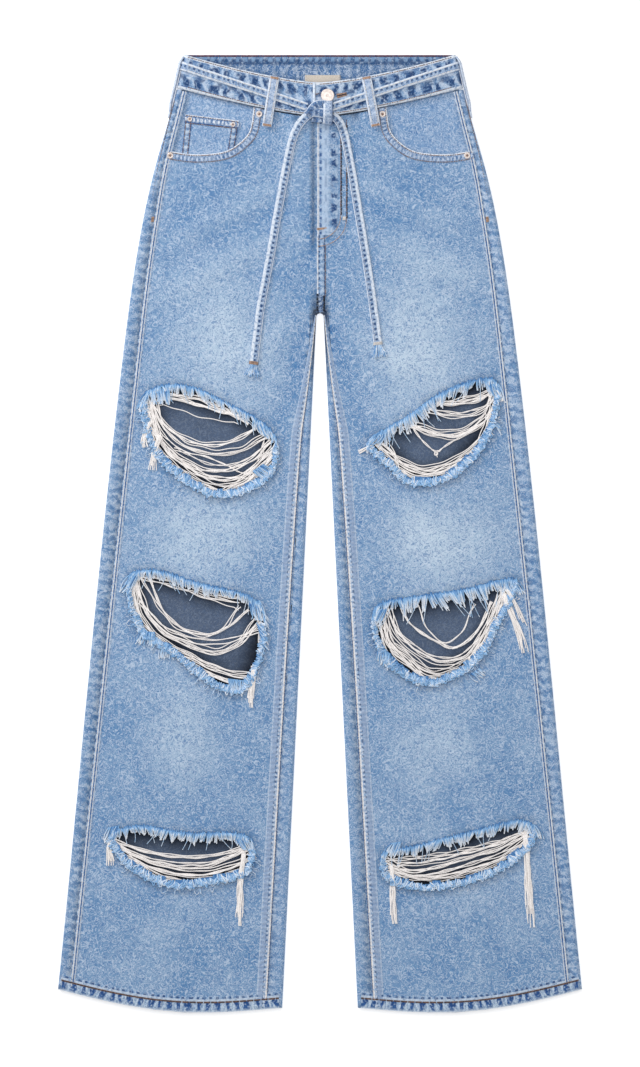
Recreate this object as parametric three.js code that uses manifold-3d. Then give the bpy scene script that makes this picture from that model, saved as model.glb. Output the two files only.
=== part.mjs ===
// Wide-leg ripped jeans with a tie belt, laid flat and face up.
// Millimetres. +X is the wearer's left, +Y runs up to the waist, +Z is up off the surface.
// Distances down the garment are written as "down": 0 at the back waist edge.

import * as THREE from "three";
import { mergeVertices } from "three/addons/utils/BufferGeometryUtils.js";
import Module from "manifold-3d";

const wasm = await Module();
wasm.setup();

// ---------------------------------------------------------------- driving dimensions
const LENGTH = 1081;             // back waist edge to the lowest point of the hem
const TOP = LENGTH / 2;          // y of the back waist edge
const DENIM = 1.2;               // one layer of cloth
const BAND_WALL = 2.2;           // waistband, two layers sewn flat
const STRAP_WALL = 1.6;          // tie belt and belt loops
const SEAM = 0.15;               // half the gap kept between neighbours
const REST_GAP = 0.3;            // gap under what lies on a panel
const BAND_SEAM = 1.6;           // the waistband's flared edge and the panels' straight one need more
const BELT_GAP = 0.5;            // gap between the waistband and the tie belt

const FOLD = 4;                  // radius of the folded leg edge
const BAND_FOLD = 4.7;           // radius of the folded waistband edge
const CROWN = 2;                 // how far the front swells above its seams
const WAIST_LIFT = 2;            // the belt under the back lifts the waist by this

const BAND_HEIGHT = 38;
const WAIST_DIP = 32;            // the front waist edge hangs below the back one
const DIP_POWER = 1.4;
const WAIST_HALF = 153;

const CROTCH = 292;              // down, at the tip of the gap between the legs
const CROTCH_ROUND = 4;          // radius of that tip
const INNER_AT_HEM = 42.5;       // half the gap between the legs at the hem
const HEM_INNER = 1076;          // down, at the hem's inner corner
const HEM_OUTER = 1055;          // down, at the hem's outer corner
const HEM_BULGE = 14;            // the hem's belly between its corners
const FLY_SHIFT = -2.5;          // the fly's folded edge lies off the centre line
const FLY_END = 215;

// outline of the side fold and how far the seams lie inside their folds: [down, value]
const SIDE_FOLD = [[0, 153], [52, 165], [142, 190], [210, 204], [312, 219], [1055, 296]];
const SIDE_SEAM_IN = [[0, 6], [90, 7.5], [200, 13], [1055, 13]];
const INSEAM_IN = [[292, 5.5], [560, 12], [1076, 17]];

// rips, each as the few points its frayed outline turns on: [x, down]
const RIPS = {
  right: [
    [[-197, 385], [-158, 374], [-105, 395], [-52, 430], [-55, 475], [-108, 500], [-150, 485], [-190, 445]],
    [[-215, 590], [-190, 583], [-135, 599], [-69, 620], [-64, 672], [-88, 720], [-125, 710], [-165, 678],
      [-205, 650]],
    [[-238, 882], [-205, 872], [-150, 880], [-80, 885], [-80, 922], [-125, 936], [-170, 939], [-220, 914]],
  ],
  left: [
    [[53, 441], [95, 412], [142, 381], [198, 369], [191, 432], [147, 479], [105, 486], [72, 462]],
    [[62, 626], [110, 613], [160, 606], [222, 594], [204, 640], [178, 686], [125, 712], [88, 698],
      [66, 672]],
    [[71, 903], [105, 895], [168, 879], [236, 867], [241, 888], [204, 921], [160, 937], [110, 942],
      [74, 930]],
  ],
};

// pocket mouth, from the waistband round to the side seam: [distance from centre, down]
const POCKET_MOUTH = [[75, 60], [79, 85], [89, 98], [104, 108], [124, 112], [150, 112], [184, 106]];
const MOUTH_STEPS = 14;
const BEYOND_MOUTH = [[260, 106], [260, -20], [75, -20]];   // corners clear of the panel, past its edges
const FACING_INNER = 68;
const FACING_END = 126;
const FACING_DROP = 2.8;         // facing lies this far below the front panel's top
const COIN_POCKET = [[-152, 67], [-91, 75], [-98, 118], [-157, 118]];

const BELT_WIDTH = 9.6;
const BELT_SIDE = 13;            // down, at the side fold
const BELT_CENTRE = 60;          // down, at the knot
const BELT_END = 13.5;           // distance from the centre where the knot takes over
const LOOP_WIDTH = 11;
const FRONT_LOOPS = { right: [[-51, 25], [-60, 82]], left: [[52, 25], [63, 82]] };
const SIDE_LOOP_END = 71;

const KNOT = { x: 1, down: 68, half: [12, 11.5, 4.5] };
const KNOT_WRAP_X = 8;
const BUTTON = { x: 8.5, down: 47, radius: 7.7, height: 3.2 };
const RIVET_RADIUS = 3.7;
const RIVET_HEIGHT = 1.4;
const RIVETS = {
  rivet_right_inner: [-68.5, 67.5],
  rivet_right_outer: [-169, 114],
  rivet_left_inner: [70.5, 67.5],
  rivet_left_outer: [166, 114],
};
const COIN_RIVETS = { rivet_coin_outer: [-147, 73], rivet_coin_inner: [-98, 79] };
const COIN_RIVET_RADIUS = 2.8;
const LABEL = { x: 3, down: 33, width: 40, height: 20 };

// free tie ends, laid by hand from the knot down the front: [x, down]
const TIE_ENDS = {
  right: [[-12.5, 68.5], [-16, 71], [-20, 75], [-24.5, 81], [-28.5, 89], [-31.5, 98], [-34.5, 110],
    [-37.5, 125], [-41, 143], [-45.5, 167], [-50, 192], [-55, 222], [-61, 254], [-67, 286],
    [-71, 318], [-75, 350]],
  left: [[14, 69.5], [19, 73.5], [23.5, 80], [27.5, 91], [31, 108], [36, 134], [40, 158], [44, 182],
    [48, 206], [52, 231], [56, 257], [59.5, 282], [63, 308], [65.5, 328]],
};
const TASSEL_LENGTH = 14;
const TASSEL_WIDTH = 16;

// ---------------------------------------------------------------- finishes
const finish = (color, roughness, metalness = 0) =>
  new THREE.MeshStandardMaterial({ color, roughness, metalness });
const denim = finish(0x8fb0d2, 0.9);
const facingDenim = finish(0x86a8cc, 0.9);
const strapDenim = finish(0x7f9fc4, 0.9);
const frayed = finish(0xc9d6e6, 0.95);
const metal = finish(0xcfcabf, 0.35, 0.9);
const labelCloth = finish(0xd9cfbf, 0.85);

// ---------------------------------------------------------------- small tools
const lerp = (a, b, t) => a + (b - a) * t;
const radians = THREE.MathUtils.degToRad;
const smooth = THREE.MathUtils.smoothstep;

// value on a smooth line through [down, value] stations
function through(stations, down) {
  const last = stations.length - 1;
  if (down <= stations[0][0]) return stations[0][1];
  if (down >= stations[last][0]) return stations[last][1];
  const i = stations.findIndex(([at]) => at > down) - 1;
  const slope = (a, b) => (stations[b][1] - stations[a][1]) / (stations[b][0] - stations[a][0]);
  const here = slope(i, i + 1);
  const startSlope = i > 0 ? (slope(i - 1, i) + here) / 2 : here;
  const endSlope = i + 1 < last ? (slope(i + 1, i + 2) + here) / 2 : here;
  const span = stations[i + 1][0] - stations[i][0];
  const t = (down - stations[i][0]) / span;
  const a = startSlope * span - (stations[i + 1][1] - stations[i][1]);
  const b = (stations[i + 1][1] - stations[i][1]) - endSlope * span;
  return lerp(stations[i][1], stations[i + 1][1], t) + t * (1 - t) * (a * (1 - t) + b * t);
}

// ---------------------------------------------------------------- the garment's form
const sideFold = (down) => through(SIDE_FOLD, down);
const sideSeam = (down) => sideFold(down) - through(SIDE_SEAM_IN, down);
const inseamIn = (down) => through(INSEAM_IN, down);
const lift = (down) => WAIST_LIFT * (1 - smooth(down, 45, 150));
const bandTop = (x) => WAIST_DIP * (1 - Math.min(1, Math.abs(x) / WAIST_HALF) ** DIP_POWER);
const bandBottom = (x) => bandTop(x) + BAND_HEIGHT;
const centreFront = (down) => FLY_SHIFT * (1 - smooth(down, FLY_END, CROTCH - 12));

function innerFold(down) {
  const start = CROTCH + CROTCH_ROUND;
  return lerp(CROTCH_ROUND, INNER_AT_HEM, (down - start) / (HEM_INNER - start));
}

// height of the front's outer face at a place
function frontHeight(x, down) {
  const away = Math.abs(x);
  const seam = sideSeam(down);
  const legShare = smooth(down, CROTCH - 140, CROTCH - 10);
  const inner = down < CROTCH ? 0 : innerFold(down) + inseamIn(down);
  const across = THREE.MathUtils.clamp((away - inner) / (seam - inner), 0, 1);
  const bodySwell = Math.cos(across * Math.PI / 2);
  const legSwell = Math.sin(across * Math.PI);
  return lift(down) + 2 * FOLD + CROWN * lerp(bodySwell, legSwell, legShare);
}

const bandSwell = (x) => CROWN * Math.cos(Math.min(1, Math.abs(x) / WAIST_HALF) * Math.PI / 2);
const OVERLAP_RISE = BAND_WALL + REST_GAP;
const BAND_END_OVER = -6.5;      // the upper end of the waistband, past the centre
const BAND_END_UNDER = 27;       // the lower end, hidden below it

function bandHeight(x) {
  const rise = OVERLAP_RISE * (1 - smooth(x, BAND_END_UNDER + 2, BAND_END_UNDER + 17));
  return WAIST_LIFT + 2 * BAND_FOLD + bandSwell(x) + (x > BAND_END_OVER ? rise : 0);
}

// ---------------------------------------------------------------- solids
const point = (x, down, z) => new THREE.Vector3(x, TOP - down, z);
const UP = new THREE.Vector3(0, 0, 1);
const DOWN = new THREE.Vector3(0, 0, -1);

// A wall of cloth. Each row lists { at, out } pairs, or null where the piece has no cloth.
function wall(rows, thickness) {
  const places = [];
  const outer = rows.map((row) => row.map((knot) => knot && places.push(knot) - 1));
  const has = (i) => i !== null && i !== undefined;
  const triangles = [];
  for (let r = 0; r + 1 < rows.length; r++) {
    for (let c = 0; c + 1 < rows[r].length; c++) {
      const [a, b, d, e] = [outer[r][c], outer[r][c + 1], outer[r + 1][c], outer[r + 1][c + 1]];
      if ([a, b, d, e].every(has)) triangles.push([a, b, e], [a, e, d]);
    }
  }
  const edges = new Set(triangles.flatMap(([a, b, c]) => [`${a},${b}`, `${b},${c}`, `${c},${a}`]));
  const n = places.length;
  const all = triangles.flatMap(([a, b, c]) => [[a, b, c], [c + n, b + n, a + n]]);
  for (const edge of edges) {
    const [a, b] = edge.split(",").map(Number);
    if (!edges.has(`${b},${a}`)) all.push([b, a, a + n], [b, a + n, b + n]);
  }
  const inner = places.map(({ at, out }) => at.clone().addScaledVector(out, -thickness));
  const corners = [...places.map(({ at }) => at), ...inner];
  return facingOut(corners, all);
}

// A closed geometry from its corners and triangles, turned so that its faces point out.
function facingOut(corners, triangles) {
  const volume = triangles.reduce((sum, [a, b, c]) =>
    sum + corners[a].dot(corners[b].clone().cross(corners[c])), 0);
  const turned = volume < 0 ? triangles.map(([a, b, c]) => [a, c, b]) : triangles;
  const geometry = new THREE.BufferGeometry();
  const numbers = corners.flatMap((corner) => corner.toArray());
  geometry.setAttribute("position", new THREE.Float32BufferAttribute(numbers, 3));
  geometry.setIndex(turned.flat());
  geometry.computeVertexNormals();
  return geometry;
}

function toSolid(geometry) {
  const bare = geometry.clone();
  bare.deleteAttribute("normal");
  bare.deleteAttribute("uv");
  const merged = mergeVertices(bare, 1e-3);
  return new wasm.Manifold(new wasm.Mesh({
    numProp: 3,
    vertProperties: new Float32Array(merged.attributes.position.array),
    triVerts: new Uint32Array(merged.index.array),
  }));
}

function toGeometry(solid) {
  const { vertProperties, triVerts } = solid.getMesh();
  const geometry = new THREE.BufferGeometry();
  geometry.setAttribute("position", new THREE.BufferAttribute(vertProperties, 3));
  geometry.setIndex(new THREE.BufferAttribute(triVerts, 1));
  geometry.computeVertexNormals();
  return geometry;
}

// A tall plug with the given outline, for cutting a hole through the front.
const PLUG_HEIGHT = 40;
const RIP_STEPS = 36;
function plug(outline) {
  const upright = { depth: PLUG_HEIGHT, bevelEnabled: false };
  const solid = new THREE.ExtrudeGeometry(new THREE.Shape(outline), upright);
  return toSolid(solid.translate(0, 0, -PLUG_HEIGHT / 4));
}

function ripPlug(turns) {
  const corners = turns.map(([x, down]) => point(x, down, 0));
  const curve = new THREE.CatmullRomCurve3(corners, true, "centripetal");
  return plug(curve.getPoints(RIP_STEPS).slice(0, -1).map(({ x, y }) => new THREE.Vector2(x, y)));
}

function pocketPlug(side) {
  const mouth = new THREE.CatmullRomCurve3(POCKET_MOUTH.map(([x, down]) => point(side * x, down, 0)));
  const edge = mouth.getPoints(MOUTH_STEPS).map(({ x, y }) => new THREE.Vector2(x, y));
  const beyond = BEYOND_MOUTH.map(([x, down]) => new THREE.Vector2(side * x, TOP - down));
  const outline = [...edge, ...beyond];
  return plug(side > 0 ? outline : outline.reverse());
}

// ---------------------------------------------------------------- leg panels
const BODY_STEPS = [0, 0.15, 0.35, 0.55, 0.75, 0.9];
const LEG_STEPS = [0.03, 0.1, 0.22, 0.36, 0.5, 0.64, 0.78, 0.9, 1];
const TURN_STEPS = [0, 45, 90];
const SIDE_AT_TURN = 286;
const SIDE_TURN_STEP = 5;

// Where the inner fold runs below the waist: round the crotch's tip, then down the leg.
function foldRows() {
  const turning = TURN_STEPS.map((angle, i) => {
    const [s, c] = [Math.sin(radians(angle)), Math.cos(radians(angle))];
    return { x: SEAM + CROTCH_ROUND * s, down: CROTCH + CROTCH_ROUND * (1 - c), into: [s, -c],
      sideDown: SIDE_AT_TURN + i * SIDE_TURN_STEP, step: 0 };
  });
  const legStart = turning[turning.length - 1];
  const leg = LEG_STEPS.map((step) => {
    const down = lerp(legStart.down, HEM_INNER, step);
    return { x: SEAM + innerFold(down), down, into: [1, 0],
      sideDown: lerp(legStart.sideDown, HEM_OUTER, step), step };
  });
  return [...turning, ...leg];
}

const hemBelly = (across, step) => HEM_BULGE * Math.sin(Math.PI * across) * step;

const FRONT_COLUMNS = [0, 0.14, 0.28, 0.42, 0.57, 0.71, 0.85, 1];

function frontRows(side) {
  const body = BODY_STEPS.map((step) => FRONT_COLUMNS.map((across) => {
    const sideDown = lerp(bandBottom(WAIST_HALF), SIDE_AT_TURN, step);
    const seam = sideSeam(sideDown) - 3 * SEAM;
    const middle = side * centreFront(lerp(WAIST_DIP + BAND_HEIGHT, CROTCH, step)) + SEAM;
    const x = lerp(middle, seam, across);
    const end = lerp(CROTCH - inseamIn(CROTCH), SIDE_AT_TURN, across);
    const down = lerp(bandBottom(x) + BAND_SEAM, end, step);
    return { at: point(side * x, down, frontHeight(x, down)), out: UP };
  }));
  const below = foldRows().map((fold) => FRONT_COLUMNS.map((across) => {
    const inset = inseamIn(fold.down) + SEAM;
    const from = [fold.x + inset * fold.into[0], fold.down + inset * fold.into[1]];
    const seam = sideSeam(fold.sideDown) - SEAM;
    const x = lerp(from[0], seam, across);
    const down = lerp(from[1], fold.sideDown, across) + hemBelly(across, fold.step);
    return { at: point(side * x, down, frontHeight(x, lerp(from[1], fold.sideDown, across))), out: UP };
  }));
  return [...body, ...below];
}

function frontLeg(side, rips) {
  const panel = toSolid(wall(frontRows(side), DENIM));
  const cut = [pocketPlug(side), ...rips.map(ripPlug)].reduce((solid, hole) => solid.subtract(hole), panel);
  return toGeometry(cut);
}

const FOLD_ANGLES = [90, 126, 162, 198, 234, 270];
const BACK_COLUMNS = [0.25, 0.5, 0.75];

// one point of a half-round fold: its outermost line lies at x, down; "into" points into the cloth
function foldPoint(side, x, down, into, angle, z) {
  const [s, c] = [Math.sin(radians(angle)), Math.cos(radians(angle))];
  const reach = FOLD * (1 + c);
  const at = point(side * (x + into[0] * reach), down + into[1] * reach, z + FOLD * (1 + s));
  return { at, out: new THREE.Vector3(side * into[0] * c, -into[1] * c, s).normalize() };
}

function sideWrap(side, down) {
  const z = lift(down);
  const angles = [...FOLD_ANGLES].reverse();
  const folds = angles.map((angle) => foldPoint(side, sideFold(down), down, [-1, 0], angle, z));
  const edge = { at: point(side * (sideSeam(down) + SEAM), down, z + 2 * FOLD), out: UP };
  return [...folds, edge];
}

function backRow(side, from, sideDown, belly, inner) {
  const toX = sideFold(sideDown) - FOLD;
  const flat = BACK_COLUMNS.map((across) => {
    const down = lerp(from[1], sideDown, across) + belly(across);
    return { at: point(side * lerp(from[0], toX, across), down, lift(down)), out: DOWN };
  });
  return [...inner, ...flat, ...sideWrap(side, sideDown)];
}

// a row above the crotch starts at the centre back seam
function bodyRow(side, centreDown, sideDown) {
  const none = Array(FOLD_ANGLES.length).fill(null);
  const start = { at: point(side * SEAM, centreDown, lift(centreDown)), out: DOWN };
  return backRow(side, [SEAM, centreDown], sideDown, () => 0, [...none, start]);
}

const YOKE_CENTRE = 122;
const YOKE_SIDE = 88;
const BACK_BODY_STEPS = [0, 0.25, 0.5, 0.75];
const YOKE_STEPS = [0, 0.33, 0.67, 1];

function yoke(side) {
  const rows = YOKE_STEPS.map((step) => bodyRow(
    side,
    lerp(BAND_HEIGHT + BAND_SEAM, YOKE_CENTRE - SEAM, step),
    lerp(BAND_HEIGHT + BAND_SEAM, YOKE_SIDE - SEAM, step),
  ));
  return wall(rows, DENIM);
}

function backLeg(side) {
  const body = BACK_BODY_STEPS.map((step) => bodyRow(
    side,
    lerp(YOKE_CENTRE + SEAM, CROTCH - FOLD, step),
    lerp(YOKE_SIDE + SEAM, SIDE_AT_TURN, step),
  ));
  const below = foldRows().map((fold) => {
    const inset = inseamIn(fold.down) - SEAM;
    const [x, down] = [fold.x + inset * fold.into[0], fold.down + inset * fold.into[1]];
    const edge = { at: point(side * x, down, 2 * FOLD), out: UP };
    const folds = FOLD_ANGLES.map((angle) => foldPoint(side, fold.x, fold.down, fold.into, angle, 0));
    const from = [fold.x + FOLD * fold.into[0], fold.down + FOLD * fold.into[1]];
    return backRow(side, from, fold.sideDown, (across) => hemBelly(across, fold.step), [edge, ...folds]);
  });
  return wall([...body, ...below], DENIM);
}

// ---------------------------------------------------------------- waistband and tie belt
// The band widens towards its lower edge as the hips begin.
const flared = (x, down) =>
  x * (1 + (sideFold(Math.max(0, down)) / WAIST_HALF - 1) * Math.min(1.1, Math.abs(x) / WAIST_HALF) ** 2);

const BAND_STEPS = 18;

// A strip round the waist: from one front place, round the side, across the back, to the other.
function roundWaist({ from, to, radius, floor, frontZ, edges }) {
  const half = WAIST_HALF + radius - BAND_FOLD;
  const turnIn = WAIST_HALF - BAND_FOLD;
  const straight = (a, b, count) => Array.from({ length: count + 1 }, (_, i) => lerp(a, b, i / count));
  const path = [];
  const onFront = (xs) => xs.forEach((x) => path.push({ x, z: frontZ(x), out: UP, front: 1 }));
  const onBack = (xs) => xs.forEach((x) => path.push({ x, z: floor, out: DOWN, front: 0 }));
  onFront(straight(from, -turnIn, BAND_STEPS));
  const turn = (sign, angles) => angles.forEach((angle) => {
    const [s, c] = [Math.sin(radians(angle)), Math.cos(radians(angle))];
    path.push({ x: sign * (half - radius + radius * c), z: floor + radius * (1 + s),
      out: new THREE.Vector3(sign * c, 0, s), front: (1 + s) / 2 });
  });
  turn(-1, [60, 30, 0, -30, -60]);
  onBack(straight(-(half - radius), half - radius, 8));
  turn(1, [-60, -30, 0, 30, 60]);
  onFront(straight(turnIn, to, BAND_STEPS));
  return [0, 0.5, 1].map((across) => path.map(({ x, z, out, front }) => {
    const [top, bottom] = edges(x, front);
    const down = lerp(top, bottom, across);
    return { at: point(flared(x, down), down, z), out };
  }));
}

function waistband() {
  const under = (x) => WAIST_LIFT + 2 * BAND_FOLD + bandSwell(x);
  const rows = roundWaist({
    from: BAND_END_UNDER,
    to: BAND_END_OVER,
    radius: BAND_FOLD,
    floor: WAIST_LIFT,
    frontZ: under,
    edges: (x, front) => [bandTop(x) * front, bandTop(x) * front + BAND_HEIGHT],
  });
  rows.forEach((row) => row.slice(-BAND_STEPS - 1).forEach((knot) => {
    knot.at.z = bandHeight(Math.max(knot.at.x, BAND_END_OVER + 0.01));
  }));
  return wall(rows, BAND_WALL);
}

const beltDown = (x) =>
  lerp(BELT_CENTRE, BELT_SIDE, Math.min(1, (Math.abs(x) - BELT_END) / (WAIST_HALF - BELT_END)));
const beltHeight = (x) => bandHeight(x) + BELT_GAP + STRAP_WALL;

function tieBelt() {
  const rows = roundWaist({
    from: -BELT_END,
    to: BELT_END,
    radius: BAND_FOLD + REST_GAP + STRAP_WALL,
    floor: 0,
    frontZ: beltHeight,
    edges: (x, front) => {
      const middle = front > 0 ? beltDown(x) : BELT_SIDE;
      return [middle - BELT_WIDTH / 2, middle + BELT_WIDTH / 2];
    },
  });
  return wall(rows, STRAP_WALL);
}

// ---------------------------------------------------------------- straps laid on the front
// A flat strap along [x, down] places, with its outer face at the height given for each place.
function strap(route, widthAt, heightAt, thickness) {
  const rows = route.map(([x, down], i) => {
    const [before, after] = [route[Math.max(0, i - 1)], route[Math.min(route.length - 1, i + 1)]];
    const run = new THREE.Vector2(after[0] - before[0], after[1] - before[1]).normalize();
    return [-0.5, 0, 0.5].map((across) => {
      const reach = widthAt(i) * across;
      const place = [x - run.y * reach, down + run.x * reach];
      return { at: point(...place, heightAt(...place, i)), out: UP };
    });
  });
  return wall(rows, thickness);
}

const LOOP_STEPS = 10;
const LOOP_ARCH = STRAP_WALL + 2 * BELT_GAP;   // room under the loop for the belt

function frontLoop([top, bottom]) {
  const route = Array.from({ length: LOOP_STEPS + 1 }, (_, i) =>
    [lerp(top[0], bottom[0], i / LOOP_STEPS), lerp(top[1], bottom[1], i / LOOP_STEPS)]);
  const middleX = (top[0] + bottom[0]) / 2;
  const height = (x, down, i) => {
    const along = i / LOOP_STEPS;
    const arch = LOOP_ARCH * smooth(along, 0, 0.18) * (1 - smooth(along, 0.8, 1));
    return bandHeight(middleX) + REST_GAP + STRAP_WALL + arch;
  };
  return strap(route, () => LOOP_WIDTH, height, STRAP_WALL);
}

const SIDE_LOOP_ANGLES = [-42, -22, -2, 18, 34];
// [down, radius of what the loop stands on, room between them]
const SIDE_LOOP_ROWS = [[2, BAND_FOLD, LOOP_ARCH], [25, BAND_FOLD, LOOP_ARCH], [48, FOLD, LOOP_ARCH],
  [SIDE_LOOP_END, FOLD, REST_GAP]];

function sideLoop(side) {
  const rows = SIDE_LOOP_ROWS.map(([down, fold, room]) => {
    const reach = fold + REST_GAP + room + STRAP_WALL;
    return SIDE_LOOP_ANGLES.map((angle) => {
      const [s, c] = [Math.sin(radians(angle)), Math.cos(radians(angle))];
      const x = sideFold(down) - fold + reach * c;
      const at = point(side * x, down, lift(down) + fold + reach * s);
      return { at, out: new THREE.Vector3(side * c, 0, s) };
    });
  });
  return wall(rows, STRAP_WALL);
}

const TIE_STAND = 0.6;           // clears the seam under the waistband as the tie comes off it
const tieHeight = (x, down) => frontHeight(x, Math.max(down, 90)) + TIE_STAND + STRAP_WALL;

function tieEnd(route) {
  const height = (x, down) => {
    const onBand = bandHeight(x) + REST_GAP + STRAP_WALL;
    return Math.max(tieHeight(x, down), down < bandBottom(x) + 14 ? onBand : 0);
  };
  return strap(route, () => BELT_WIDTH, height, STRAP_WALL);
}

function tassel(route) {
  const [before, end] = route.slice(-2);
  const run = new THREE.Vector2(end[0] - before[0], end[1] - before[1]).normalize();
  const at = (distance) => [end[0] + run.x * distance, end[1] + run.y * distance];
  const spread = [0.3, 0.35 * TASSEL_LENGTH, TASSEL_LENGTH];
  const widths = [BELT_WIDTH, 0.8 * TASSEL_WIDTH, TASSEL_WIDTH];
  return strap(spread.map(at), (i) => widths[i], tieHeight, STRAP_WALL);
}

// ---------------------------------------------------------------- pockets and label
// A flat patch whose four corners are given, following the front a set depth below its top.
function patch(corners, drop, thickness, heightAt = frontHeight) {
  const steps = [0, 0.25, 0.5, 0.75, 1];
  const rows = steps.map((t) => steps.map((s) => {
    const between = (a, b, k) => lerp(corners[a][k], corners[b][k], s);
    const mix = (k) => lerp(between(0, 1, k), between(3, 2, k), t);
    return { at: point(mix(0), mix(1), heightAt(mix(0), mix(1)) - drop), out: UP };
  }));
  return wall(rows, thickness);
}

function pocketFacing(side) {
  const steps = [0, 0.25, 0.5, 0.75, 1];
  const rows = steps.map((t) => steps.map((s) => {
    const sideDown = lerp(bandBottom(WAIST_HALF) + 2, FACING_END, t);
    const x = lerp(FACING_INNER, sideSeam(sideDown) - 2 * REST_GAP, s);
    const down = lerp(bandBottom(x) + 2 * REST_GAP, FACING_END, t);
    return { at: point(side * x, down, frontHeight(x, down) - FACING_DROP), out: UP };
  }));
  return wall(rows, DENIM - 0.2);
}

function label() {
  const [left, right] = [LABEL.x - LABEL.width / 2, LABEL.x + LABEL.width / 2];
  const [high, low] = [LABEL.down - LABEL.height / 2, LABEL.down + LABEL.height / 2];
  const face = () => WAIST_LIFT + BAND_WALL + REST_GAP + 1;
  return patch([[left, high], [right, high], [right, low], [left, low]], 0, 1, face);
}

// ---------------------------------------------------------------- knot and hardware
function domed(radius, height) {
  const profile = [[0, 0], [radius * 0.86, 0], [radius, height * 0.3], [radius * 0.92, height * 0.62],
    [radius * 0.6, height * 0.92], [0, height]];
  return new THREE.LatheGeometry(profile.map(([r, z]) => new THREE.Vector2(r, z)), 20).rotateX(Math.PI / 2);
}

function knotBody() {
  const ball = new THREE.SphereGeometry(1, 20, 10);
  return ball.scale(...KNOT.half);
}

function knotWrap() {
  const steps = 9;
  const route = Array.from({ length: steps + 1 }, (_, i) =>
    [KNOT_WRAP_X, lerp(KNOT.down - KNOT.half[1], KNOT.down + KNOT.half[1], i / steps)]);
  const base = knotBase() + 2 * KNOT.half[2];
  const height = (x, down) => {
    const away = Math.min(1, Math.abs(down - KNOT.down) / (KNOT.half[1] + 1));
    return base + REST_GAP + STRAP_WALL - KNOT.half[2] * 0.5 * away ** 3;
  };
  return strap(route, () => BELT_WIDTH, height, STRAP_WALL);
}

const knotBase = () => Math.max(bandHeight(0), bandHeight(KNOT.x + 12)) + REST_GAP;

// ---------------------------------------------------------------- the jeans
const jeans = new THREE.Group();

function add(name, geometry, material, [x, down, z] = [0, TOP, 0]) {
  const mesh = new THREE.Mesh(geometry, material);
  mesh.name = name;
  mesh.position.set(x, TOP - down, z);
  jeans.add(mesh);
}

for (const [name, side] of [["right", -1], ["left", 1]]) {
  add(`front_leg_${name}`, frontLeg(side, RIPS[name]), denim);
  add(`back_leg_${name}`, backLeg(side), denim);
  add(`yoke_${name}`, yoke(side), denim);
  add(`pocket_facing_${name}`, pocketFacing(side), facingDenim);
  add(`front_loop_${name}`, frontLoop(FRONT_LOOPS[name]), strapDenim);
  add(`side_loop_${name}`, sideLoop(side), strapDenim);
  add(`tie_end_${name}`, tieEnd(TIE_ENDS[name]), strapDenim);
  add(`tassel_${name}`, tassel(TIE_ENDS[name]), frayed);
}
add("waistband", waistband(), denim);
add("tie_belt", tieBelt(), strapDenim);
add("coin_pocket", patch(COIN_POCKET, FACING_DROP - REST_GAP - 1, 1), facingDenim);
add("label", label(), labelCloth);
add("tie_knot", knotBody(), strapDenim, [KNOT.x, KNOT.down, knotBase() + KNOT.half[2]]);
add("knot_wrap", knotWrap(), strapDenim);

const buttonBase = bandHeight(BUTTON.x) + REST_GAP;
add("button", domed(BUTTON.radius, BUTTON.height), metal, [BUTTON.x, BUTTON.down, buttonBase]);
for (const [name, [x, down]] of Object.entries(RIVETS)) {
  add(name, domed(RIVET_RADIUS, RIVET_HEIGHT), metal, [x, down, frontHeight(x, down) + REST_GAP]);
}
for (const [name, [x, down]] of Object.entries(COIN_RIVETS)) {
  const z = frontHeight(x, down) - FACING_DROP + REST_GAP + 1 + REST_GAP;
  add(name, domed(COIN_RIVET_RADIUS, RIVET_HEIGHT), metal, [x, down, z]);
}

export default jeans;
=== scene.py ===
# %% [markdown]
# Wide-leg ripped jeans with a tie belt, laid flat and face up on a pale floor.
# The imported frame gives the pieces' places. Every visible piece is rebuilt on that form in finer
# cloth, because faceted panels can't carry seams, puckers or frayed edges.

# %% Load the frame
import bpy
import bmesh
import math
import random
from mathutils import Matrix, Vector
from mathutils.kdtree import KDTree


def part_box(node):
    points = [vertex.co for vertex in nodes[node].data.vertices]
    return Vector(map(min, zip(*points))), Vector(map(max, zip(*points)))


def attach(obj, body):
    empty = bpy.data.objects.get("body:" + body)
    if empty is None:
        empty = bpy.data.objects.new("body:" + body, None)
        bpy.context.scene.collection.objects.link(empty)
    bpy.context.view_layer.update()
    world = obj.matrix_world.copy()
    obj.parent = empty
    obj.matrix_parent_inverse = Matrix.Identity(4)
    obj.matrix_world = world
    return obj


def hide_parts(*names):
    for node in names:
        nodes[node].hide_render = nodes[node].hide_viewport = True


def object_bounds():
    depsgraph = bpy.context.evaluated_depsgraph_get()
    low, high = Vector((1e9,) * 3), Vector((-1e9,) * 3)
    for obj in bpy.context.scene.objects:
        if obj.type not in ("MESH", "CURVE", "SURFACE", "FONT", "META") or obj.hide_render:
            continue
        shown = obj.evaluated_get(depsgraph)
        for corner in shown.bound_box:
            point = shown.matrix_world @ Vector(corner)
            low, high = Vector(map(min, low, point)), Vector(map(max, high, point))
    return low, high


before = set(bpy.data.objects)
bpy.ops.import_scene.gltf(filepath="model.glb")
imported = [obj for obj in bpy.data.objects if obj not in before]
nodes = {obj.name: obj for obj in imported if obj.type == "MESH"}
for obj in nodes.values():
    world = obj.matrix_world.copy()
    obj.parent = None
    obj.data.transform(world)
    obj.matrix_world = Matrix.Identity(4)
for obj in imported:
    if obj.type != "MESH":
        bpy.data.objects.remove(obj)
cad_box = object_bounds()
rng = random.Random(7)
print("frame box", cad_box)

# %% [markdown]
# Everything is placed the way a pattern maker would: so far from the centre, so far down from
# the back waist edge, and so high off the floor, in millimetres. One function turns that into
# the frame's metres, and the outline's main sizes are read from the frame's own boxes.

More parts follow.
